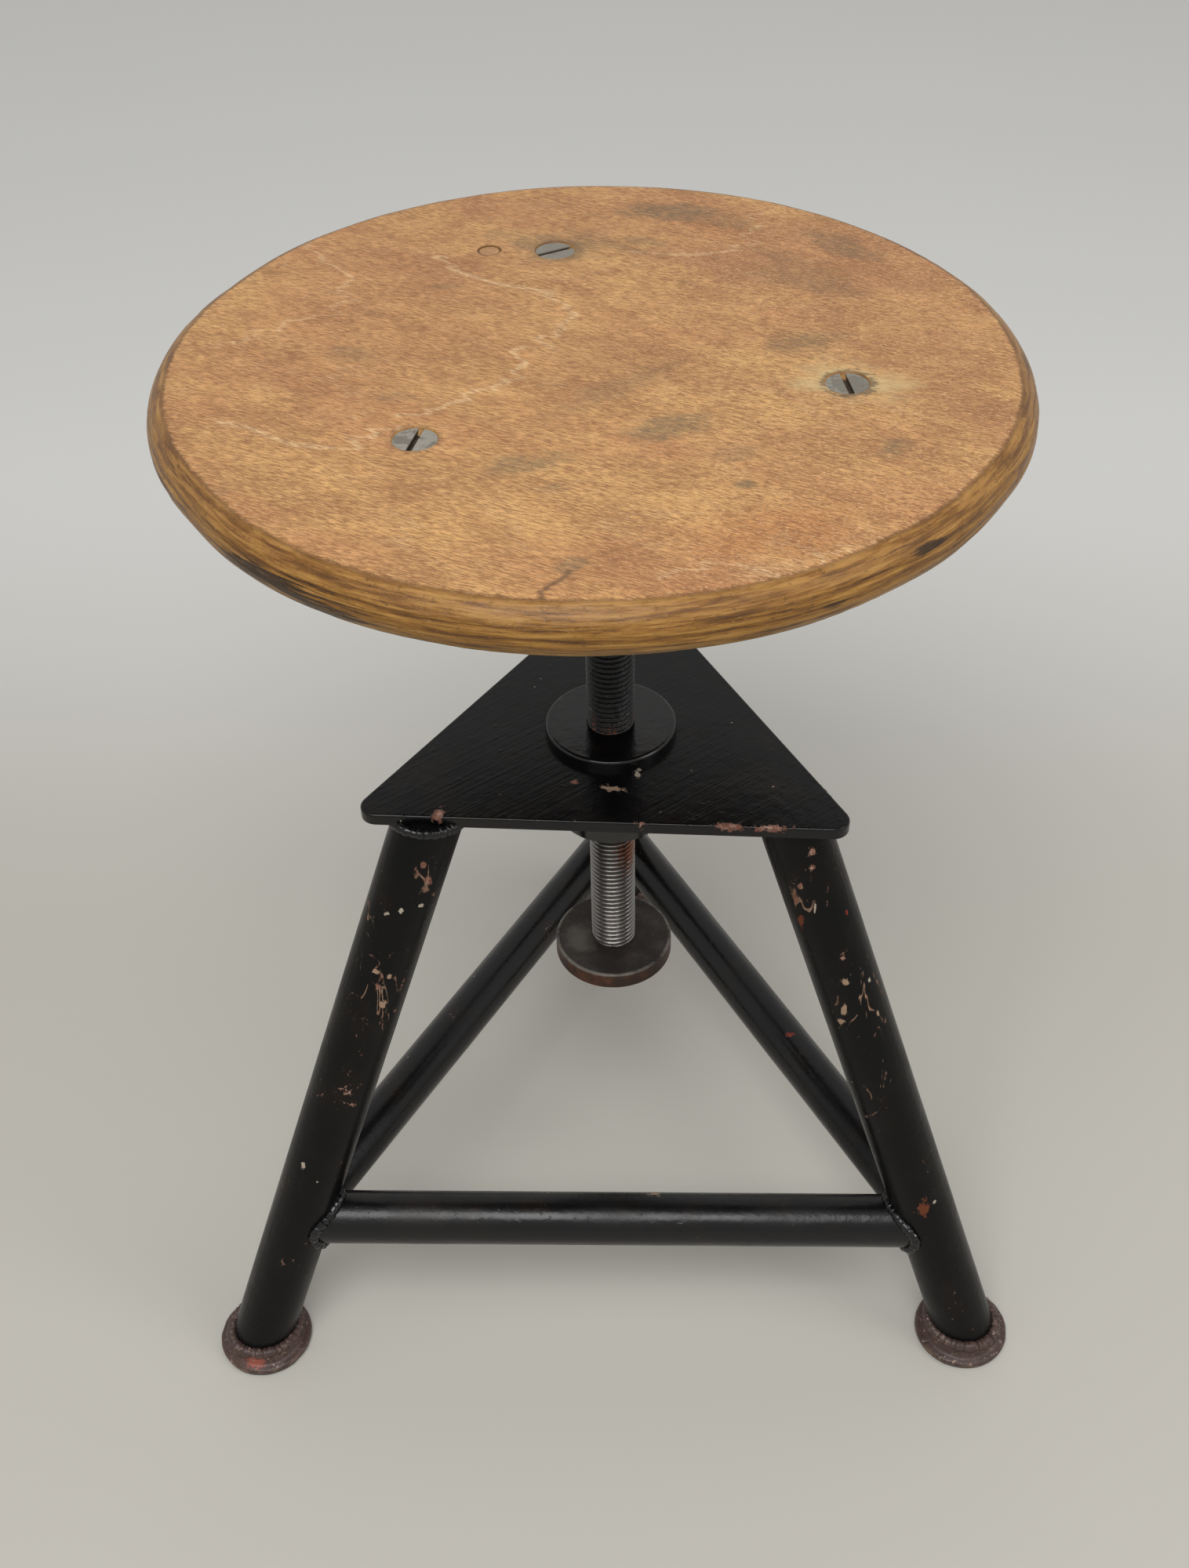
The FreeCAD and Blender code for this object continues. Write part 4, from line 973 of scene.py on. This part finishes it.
class STOOL_OT_spindle(bpy.types.Operator):
    """Make the spindle with its real thread"""

    bl_idname = "stool.spindle"
    bl_label = "Spindle"

    def execute(self, context):
        looks = context.scene.stool_steel
        material = bare_thread(looks)
        start = DISC_HIGH.z + 0.3 * MM
        length = SPINDLE_HIGH.z - start
        rows = round(length / looks.pitch * looks.per_turn)
        w = Weave(
            "spindle thread",
            [
                ("Crest radius", "Float", SPINDLE_RADIUS),
                ("Depth", "Float", looks.depth),
                ("Pitch", "Float", looks.pitch),
                ("Length", "Float", length),
                ("Around", "Int", looks.around + 1),
                ("Rows", "Int", rows + 1),
                ("Chamfer", "Float", THREAD_CHAMFER),
                ("Spigot radius", "Float", SPIGOT_RADIUS),
                ("Spigot length", "Float", start - SPINDLE_LOW.z),
            ],
        )
        size = {"Size X": 1.0, "Size Y": 1.0, "Vertices X": w.given("Around"), "Vertices Y": w.given("Rows")}
        grid = w.add("GeometryNodeMeshGrid", size).outputs["Mesh"]
        flat = w.add("ShaderNodeSeparateXYZ", {0: w.add("GeometryNodeInputPosition").outputs[0]})
        turn = w.plus(flat.outputs[0], 0.5)
        height = w.times(w.plus(flat.outputs[1], 0.5), w.given("Length"))
        phase = w.math("FRACT", w.minus(w.math("DIVIDE", height, w.given("Pitch")), turn))
        slope = w.times(w.math("ABSOLUTE", w.minus(phase, 0.5)), 2.0)
        # crest and root are flat, and the flanks between them are smooth
        flank = {"Value": slope, "From Min": 0.10, "From Max": 0.86}
        flank = w.add("ShaderNodeMapRange", flank, interpolation_type="SMOOTHSTEP").outputs["Result"]
        radius = w.minus(w.given("Crest radius"), w.times(flank, w.given("Depth")))
        to_end = w.math("MINIMUM", height, w.minus(w.given("Length"), height))
        taper = w.minus(w.given("Crest radius"), w.larger(0.0, w.minus(w.given("Chamfer"), to_end)))
        radius = w.times(w.math("MINIMUM", radius, taper), w.math("GREATER_THAN", to_end, 1e-6))
        angle = w.times(turn, 2 * math.pi)
        across, beside = w.times(radius, w.math("COSINE", angle)), w.times(radius, w.math("SINE", angle))
        point = w.add("ShaderNodeCombineXYZ", {0: across, 1: beside, 2: height}).outputs[0]
        wrapped = w.add("GeometryNodeSetPosition", {"Geometry": grid, "Position": point}).outputs[0]
        closed = w.add("GeometryNodeMergeByDistance", {"Geometry": wrapped, "Distance": 1e-6})
        spigot = {"Vertices": 48, "Radius": w.given("Spigot radius"), "Depth": w.given("Spigot length")}
        spigot = w.add("GeometryNodeMeshCylinder", spigot).outputs["Mesh"]
        down = w.add("ShaderNodeCombineXYZ", {2: w.times(w.given("Spigot length"), -0.5)}).outputs[0]
        lowered = w.add("GeometryNodeTransform", {"Geometry": spigot, "Translation": down})
        both = w.add("GeometryNodeJoinGeometry")
        for part in (closed, lowered):
            w.put(both.inputs[0], part.outputs[0])
        raised = {"Geometry": both.outputs[0], "Translation": (AXIS.x, AXIS.y, start)}
        raised = w.add("GeometryNodeTransform", raised).outputs[0]
        spindle = w.bake(new_piece("thread"), raised, material, "spindle_thread", 60.0)
        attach(spindle, "seat")
        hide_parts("spindle")
        return {"FINISHED"}


class STOOL_OT_stop_disc(bpy.types.Operator):
    """Finish the disc that stops the spindle"""

    bl_idname = "stool.stop_disc"
    bl_label = "Stop Disc"

    def execute(self, context):
        dress("stop_disc", stop_steel(context.scene.stool_steel))
        return {"FINISHED"}


class STOOL_OT_base_plate(bpy.types.Operator):
    """Finish the triangular plate and the collar of the spindle nut"""

    bl_idname = "stool.base_plate"
    bl_label = "Base Plate"

    def execute(self, context):
        looks = context.scene.stool_frame
        top = PLATE_HIGH.z
        marks = [
            ((0.013, -0.073, top), (1.8, 3.4, 3), 0, "pale"),
            ((0.002, -0.084, top), (6.0, 2.0, 3), -12, "beige"),
            ((-0.017, -0.079, top), (2.2, 1.6, 3), 0, "pink"),
            ((0.014, -0.109, top), (3.5, 2.0, 3), 0, "pink"),
            ((-0.080, -0.102, top), (3.0, 4.5, 3), 0, "pink"),
            ((0.055, -0.110, top), (6.5, 2.0, 3), 0, "pink"),
            ((0.075, -0.111, top), (8.0, 1.8, 3), 0, "pink"),
        ]
        plate = enamel("plate enamel", looks, (0.050, 0.0016, 0.03), turn=38.0, chips=0.1, marks=marks, shine=0.32)
        dress("base_plate", plate)
        collar = enamel("collar enamel", looks, (0.012, 0.006, 0.006), chips=0.0, dullness=-0.05, shine=0.6)
        dress("spindle_nut", collar)
        return {"FINISHED"}


class STOOL_OT_tubes(bpy.types.Operator):
    """Finish the legs and the stretchers"""

    bl_idname = "stool.tubes"
    bl_label = "Legs and Stretchers"

    # height, distance right of the middle line, size across and along, colour
    chips = {
        "front_left": [
            (325, 6.5, 2.2, 3.0, "pink"), (317, 10.8, 2.4, 4.5, "pink"), (303, 11.0, 2.0, 2.4, "pale"),
            (295, -3.0, 2.0, 2.0, "pale"), (299, 3.0, 1.8, 1.8, "pale"), (263, 0.5, 1.8, 1.8, "beige"),
            (262, 7.5, 1.6, 1.8, "beige"), (246, 8.5, 2.4, 5.0, "beige"), (255, 4.0, 2.4, 3.0, "pink"),
            (138, -5.0, 1.8, 3.4, "pale"),
        ],
        "front_right": [
            (327, 2.0, 3.4, 3.4, "pink"), (319, -0.5, 2.4, 2.6, "pink"), (311, -8.0, 2.4, 3.0, "pink"),
            (304, -12.0, 2.0, 3.0, "pink"), (291, -13.0, 2.4, 7.0, "rust"), (298, -5.0, 0.7, 14.0, "pale"),
            (289, 9.0, 1.0, 12.0, "red"), (268, 0.0, 2.2, 2.6, "pink"), (255, -2.5, 2.2, 2.8, "beige"),
            (249, 9.5, 1.6, 1.8, "pale"), (239, -7.5, 1.8, 6.0, "beige"), (230, 8.0, 1.1, 17.0, "beige"),
            (232, -10.5, 2.0, 2.6, "beige"), (108, -2.0, 4.5, 9.0, "rust"), (109, 5.0, 1.4, 1.4, "pale"),
        ],
        "rear": [(250, -4.0, 2.2, 5.0, "rust"), (190, 6.0, 1.6, 6.0, "pink"), (135, -2.0, 2.0, 4.0, "beige")],
    }

    # height, distance right of the middle line, size across and along
    scratches = {
        "front_left": [(250, 5.0, 15.0, 24.0), (318, 9.0, 6.0, 14.0), (290, -12.0, 6.0, 14.0)],
        "front_right": [(240, 3.0, 16.0, 22.0), (300, -9.0, 9.0, 20.0), (190, -6.0, 7.0, 26.0)],
        "rear": [(210, 0.0, 12.0, 40.0)],
    }

    def execute(self, context):
        looks = context.scene.stool_frame
        for side in SIDES:
            scratched = [
                (on_leg(side, height, across), (wide, wide, tall))
                for height, across, wide, tall in self.scratches[side]
            ]
            marks = [
                (on_leg(side, height, across), (wide * 0.7, wide * 0.7, tall * 0.7), 0.0, kind)
                for height, across, wide, tall, kind in self.chips[side]
            ]
            paint = enamel(
                f"{side} leg enamel", looks, (0.004, 0.004, 0.030), chips=0.55, marks=marks, scratched=scratched,
                dullness=0.10, shine=0.16
            )
            dress(f"leg_{side}", paint)
        marks = [
            ((0.023, -0.132, 0.100), (4.0, 3.0, 3.0), 0.0, "beige"),
            ((0.092, -0.168, 0.086), (1.6, 1.6, 1.6), 0.0, "pale"),
            ((0.104, -0.020, 0.101), (2.6, 2.6, 2.2), 0.0, "red"),
        ]
        strokes = (0.0045, 0.0045, 0.0045)
        bar = enamel("stretcher enamel", looks, strokes, chips=0.35, marks=marks, dullness=0.08, shine=0.42)
        for side in STRETCHERS:
            dress(f"stretcher_{side}", bar)
        return {"FINISHED"}


class STOOL_OT_feet(bpy.types.Operator):
    """Make the worn discs under the legs"""

    bl_idname = "stool.feet"
    bl_label = "Feet"

    def execute(self, context):
        paint = foot_finish(context.scene.stool_steel)
        for side in SIDES:
            low, high = corners(f"foot_{side}")
            centre = middle(f"foot_{side}")
            wide = (high.x - low.x) / 2 / MM
            tall = high.z / MM
            # radius and height in mm, from the middle of the underside up to the middle of the top
            outline = [
                (wide * 0.5, 0), (wide - 2.4, 0), (wide - 1.1, 0.1), (wide - 0.3, 0.8), (wide, 1.8), (wide, 3.2),
                (wide - 0.4, 4.1), (wide - 1.3, 4.6), (wide - 2.8, 4.9), (wide - 4.0, 5.4), (wide - 4.6, 6.4),
                (wide - 5.0, 7.8), (wide - 5.6, 9.0), (wide - 6.8, 9.7), (wide - 8.8, 9.9), (wide - 12, tall),
                (wide * 0.25, tall),
            ]
            shape = bmesh.new()
            around = spokes(count=FOOT_CORNERS)
            rows = [[shape.verts.new(self.rubbed(centre, out, *place)) for out in around] for place in outline]
            close_rows(shape, rows, ((centre.x, centre.y, 0), (centre.x, centre.y, tall * MM)))
            foot = finish_mesh(f"foot_{side}_worn", shape, paint, 50.0)
            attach(foot, "frame")
            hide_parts(f"foot_{side}")
        return {"FINISHED"}

    def rubbed(self, centre, out, radius, height):
        """A point of a foot, drawn in and lowered a little where the steel is battered."""
        spot = centre / MM + out * radius
        dent = 0.45 * max(0.0, noise.noise(Vector((spot.x / 9, spot.y / 9, height / 5))))
        dent += 0.20 * max(0.0, noise.noise(Vector((spot.x / 3, spot.y / 3, height / 2 + 7))))
        dent *= min(1.0, radius / 12)
        point = centre + out * (radius - dent) * MM
        point.z = max(0.0, height - dent * (height > 3)) * MM
        return point


class STOOL_OT_welds(bpy.types.Operator):
    """Make the rippled weld beads"""

    bl_idname = "stool.welds"
    bl_label = "Weld Beads"

    def execute(self, context):
        looks = context.scene.stool_frame
        paint = enamel("weld enamel", looks, (0.006, 0.006, 0.006), chips=0.45, dullness=0.04)
        joints = [self.leg_ring(side, LEG_TOP[side].z, -1) for side in SIDES]
        joints.append(self.circle(PLATE_LOW.z, (COLLAR_HIGH.x - COLLAR_LOW.x) / 2 - FLANGE_TO_BEAD))
        for from_side, to_side, radius in STRETCHERS.values():
            joints += [self.saddle(from_side, to_side, radius), self.saddle(to_side, from_side, radius)]
        welds = ("leg_welds", "stretcher_welds", "nut_weld")
        self.beads("frame_beads", looks, paint, joints, looks.bead, 4, "frame", welds)
        hub_low, hub_high = corners("seat_hub")
        hub = [self.circle(hub_high.z, (hub_high.x - hub_low.x) / 2 + HUB_TO_BEAD)]
        self.beads("hub_bead", looks, paint, hub, looks.bead, 9, "seat", ("hub_weld",))
        brown = foot_finish(context.scene.stool_steel)
        feet = [self.leg_ring(side, LEG_FOOT[side].z, 1) for side in SIDES]
        beads = self.beads("foot_beads", looks, brown, feet, looks.bead * 1.1, 2, "frame", ("foot_welds",))
        return {"FINISHED"}

    def leg_ring(self, side, level, into):
        """Where a leg meets a level face. into is 1 above the face and -1 below it."""
        run = leg_run(side)
        across = run.orthogonal().normalized()
        ring = []
        for out in spokes(across, run.cross(across)):
            point = on_axis(side, level) + out * (LEG_RADIUS + LEG_BEAD_OFF)
            point += run * ((level + into * LEG_BEAD_OFF - point.z) / run.z)
            ring.append(point)
        return ring

    def circle(self, level, radius):
        """Where a round piece meets a level face from below."""
        centre = AXIS + Vector((0, 0, level - ROUND_BEAD_DOWN))
        return [centre + out * radius for out in spokes()]

    def saddle(self, side, far_side, radius):
        """Where a stretcher's end meets the leg."""
        start, end = on_axis(side, JOINT[side]), on_axis(far_side, JOINT[far_side])
        run = (end - start).normalized()
        leg = leg_run(side)
        across = run.orthogonal().normalized()
        reach = LEG_RADIUS + SADDLE_BEAD_OFF
        ring = []
        for out in spokes(across, run.cross(across)):
            out *= radius + SADDLE_BEAD_OFF
            flat_out, flat_run = out - leg * out.dot(leg), run - leg * run.dot(leg)
            lean, steep = flat_out.dot(flat_run), flat_run.length_squared
            inside = max(0.0, lean**2 - steep * (flat_out.length_squared - reach**2))
            ring.append(start + out + run * ((math.sqrt(inside) - lean) / steep))
        return ring

    def beads(self, name, looks, material, rings, width, seed, body, nodes):
        """Sweep a rippled, uneven bead along closed rings of points."""
        shape = bmesh.new()
        for ring in rings:
            verts = [shape.verts.new(point) for point in ring]
            for first, second in zip(verts, verts[1:] + verts[:1]):
                shape.edges.new((first, second))
        mesh = bpy.data.meshes.new(name)
        shape.to_mesh(mesh)
        shape.free()
        path = new_piece(name, mesh)
        w = Weave(
            f"{name} ripples",
            [
                ("Geometry", "Geometry", None),
                ("Radius", "Float", width / 2),
                ("Ripple", "Float", looks.bead_step),
                ("Row", "Float", BEAD_ROW),
                ("Around", "Int", BEAD_CORNERS),
                ("Lumps", "Float", BEAD_LUMPS),
                ("Seed", "Float", float(seed)),
            ],
        )

        def lumps(scale):
            inputs = {"W": w.given("Seed"), "Scale": scale, "Detail": 2.0}
            return w.add("ShaderNodeTexNoise", inputs, noise_dimensions="4D").outputs["Fac"]

        line = w.add("GeometryNodeMeshToCurve", {"Mesh": w.given("Geometry")}).outputs[0]
        line = w.add("GeometryNodeResampleCurve", {"Curve": line, "Length": w.given("Row")}, mode="LENGTH").outputs[0]
        # each ripple rises slowly and falls off at once, and both its step and its width are uneven
        along = w.add("GeometryNodeSplineParameter").outputs["Length"]
        uneven = lumps(180.0)
        shifted = w.math("MULTIPLY_ADD", uneven, w.times(w.given("Ripple"), 2.0), along)
        ripple = w.math("POWER", w.math("FRACT", w.math("DIVIDE", shifted, w.given("Ripple"))), 2.2)
        size = w.plus(w.math("MULTIPLY_ADD", ripple, -0.20, 0.92), w.swing(uneven, 0.55))
        round_profile = {"Resolution": w.given("Around"), "Radius": w.given("Radius")}
        round_profile = w.add("GeometryNodeCurvePrimitiveCircle", round_profile).outputs[0]
        swept = {"Curve": line, "Profile Curve": round_profile, "Scale": size}
        swept = w.add("GeometryNodeCurveToMesh", swept).outputs[0]
        push = {0: w.add("GeometryNodeInputNormal").outputs[0], 3: w.swing(lumps(420.0), w.given("Lumps"))}
        push = w.add("ShaderNodeVectorMath", push, operation="SCALE").outputs[0]
        lumpy = w.add("GeometryNodeSetPosition", {"Geometry": swept, "Offset": push}).outputs[0]
        beads = w.bake(path, lumpy, material, f"{name}_rippled", 50.0)
        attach(beads, body)
        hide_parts(*nodes)
        return beads


class STOOL_OT_stage(bpy.types.Operator):
    """Make the floor, the lamps and the camera"""

    bl_idname = "stool.stage"
    bl_label = "Studio"

    def execute(self, context):
        looks = context.scene.stool_stage
        scene = context.scene
        shape = bmesh.new()
        bmesh.ops.create_grid(shape, x_segments=8, y_segments=8, size=FLOOR_REACH)
        r = Recipe("studio floor")
        y = r.split()[1]
        cloud = r.noise((0.5, 0.5, 0.5), 3.0, 0.5)
        tone = r.mix(r.step(y, 0.10, 0.85), looks.floor, looks.backdrop)
        tone = r.over(tone, (0.42, 0.41, 0.38), cloud, 0.06)
        fine = r.noise((0.012, 0.012, 0.012), 4.0, 0.6)
        floor = finish_mesh("studio_floor", shape, r.finish(tone, 0.62, r.bump(fine, 0.2 * MM, 0.3)), 60.0)

        world = bpy.data.worlds.new("studio")
        scene.world = world
        world.use_nodes = True
        ground = world.node_tree.nodes["Background"]
        ground.inputs["Color"].default_value = (1.0, 0.99, 0.975, 1.0)
        ground.inputs["Strength"].default_value = looks.sky

        self.lamp("key", looks.key, (1.5, 1.1), (-0.25, -1.35, 2.3), (0.0, 0.0, 0.35))
        self.lamp("fill", looks.fill, (0.8, 1.6), (1.7, -0.7, 1.6), (0.0, 0.0, 0.3))

        eye = bpy.data.cameras.new("camera")
        eye.lens = looks.lens
        eye.sensor_width = 36.0
        camera = new_piece("camera", eye)
        turned = (
            Matrix.Rotation(looks.heading, 4, "Z")
            @ Matrix.Rotation(math.pi / 2 - looks.tilt, 4, "X")
            @ Matrix.Rotation(looks.roll, 4, "Z")
        )
        camera.matrix_world = Matrix.Translation(Vector(looks.eye)) @ turned
        scene.camera = camera
        scene.view_settings.view_transform = "Standard"
        return {"FINISHED"}

    def lamp(self, name, power, size, place, aim):
        """A soft lamp at a place, turned to what it lights."""
        lamp = bpy.data.lights.new(name, "AREA")
        lamp.shape = "RECTANGLE"
        lamp.size, lamp.size_y = size
        lamp.energy = power
        turned = (Vector(aim) - Vector(place)).to_track_quat("-Z", "Y").to_matrix().to_4x4()
        new_piece(name, lamp).matrix_world = Matrix.Translation(place) @ turned


OPERATORS = (
    STOOL_OT_seat_board,
    STOOL_OT_seat_fasteners,
    STOOL_OT_spindle,
    STOOL_OT_stop_disc,
    STOOL_OT_base_plate,
    STOOL_OT_tubes,
    STOOL_OT_feet,
    STOOL_OT_welds,
    STOOL_OT_stage,
)
LOOKS = {
    "stool_seat": SeatLooks,
    "stool_frame": FrameLooks,
    "stool_steel": SteelLooks,
    "stool_stage": StageLooks,
}


class STOOL_PT_panel(bpy.types.Panel):
    """Lists the pieces of the stool and their looks"""

    bl_idname = "STOOL_PT_panel"
    bl_label = "Machinist Stool"
    bl_space_type = "VIEW_3D"
    bl_region_type = "UI"
    bl_category = "Stool"

    def draw(self, context):
        for operator in OPERATORS:
            self.layout.operator(operator.bl_idname)
        for name, group in LOOKS.items():
            box = self.layout.box()
            box.label(text=group.__doc__)
            for key in group.__annotations__:
                box.prop(getattr(context.scene, name), key)


def register():
    for kind in (*LOOKS.values(), *OPERATORS, STOOL_PT_panel):
        bpy.utils.register_class(kind)
    for name, group in LOOKS.items():
        setattr(bpy.types.Scene, name, bpy.props.PointerProperty(type=group))


def unregister():
    for name in LOOKS:
        delattr(bpy.types.Scene, name)
    for kind in (STOOL_PT_panel, *reversed(OPERATORS), *LOOKS.values()):
        bpy.utils.unregister_class(kind)


def main():
    register()
    for operator in OPERATORS:
        category, name = operator.bl_idname.split(".")
        getattr(getattr(bpy.ops, category), name)()


if __name__ == "__main__":
    main()
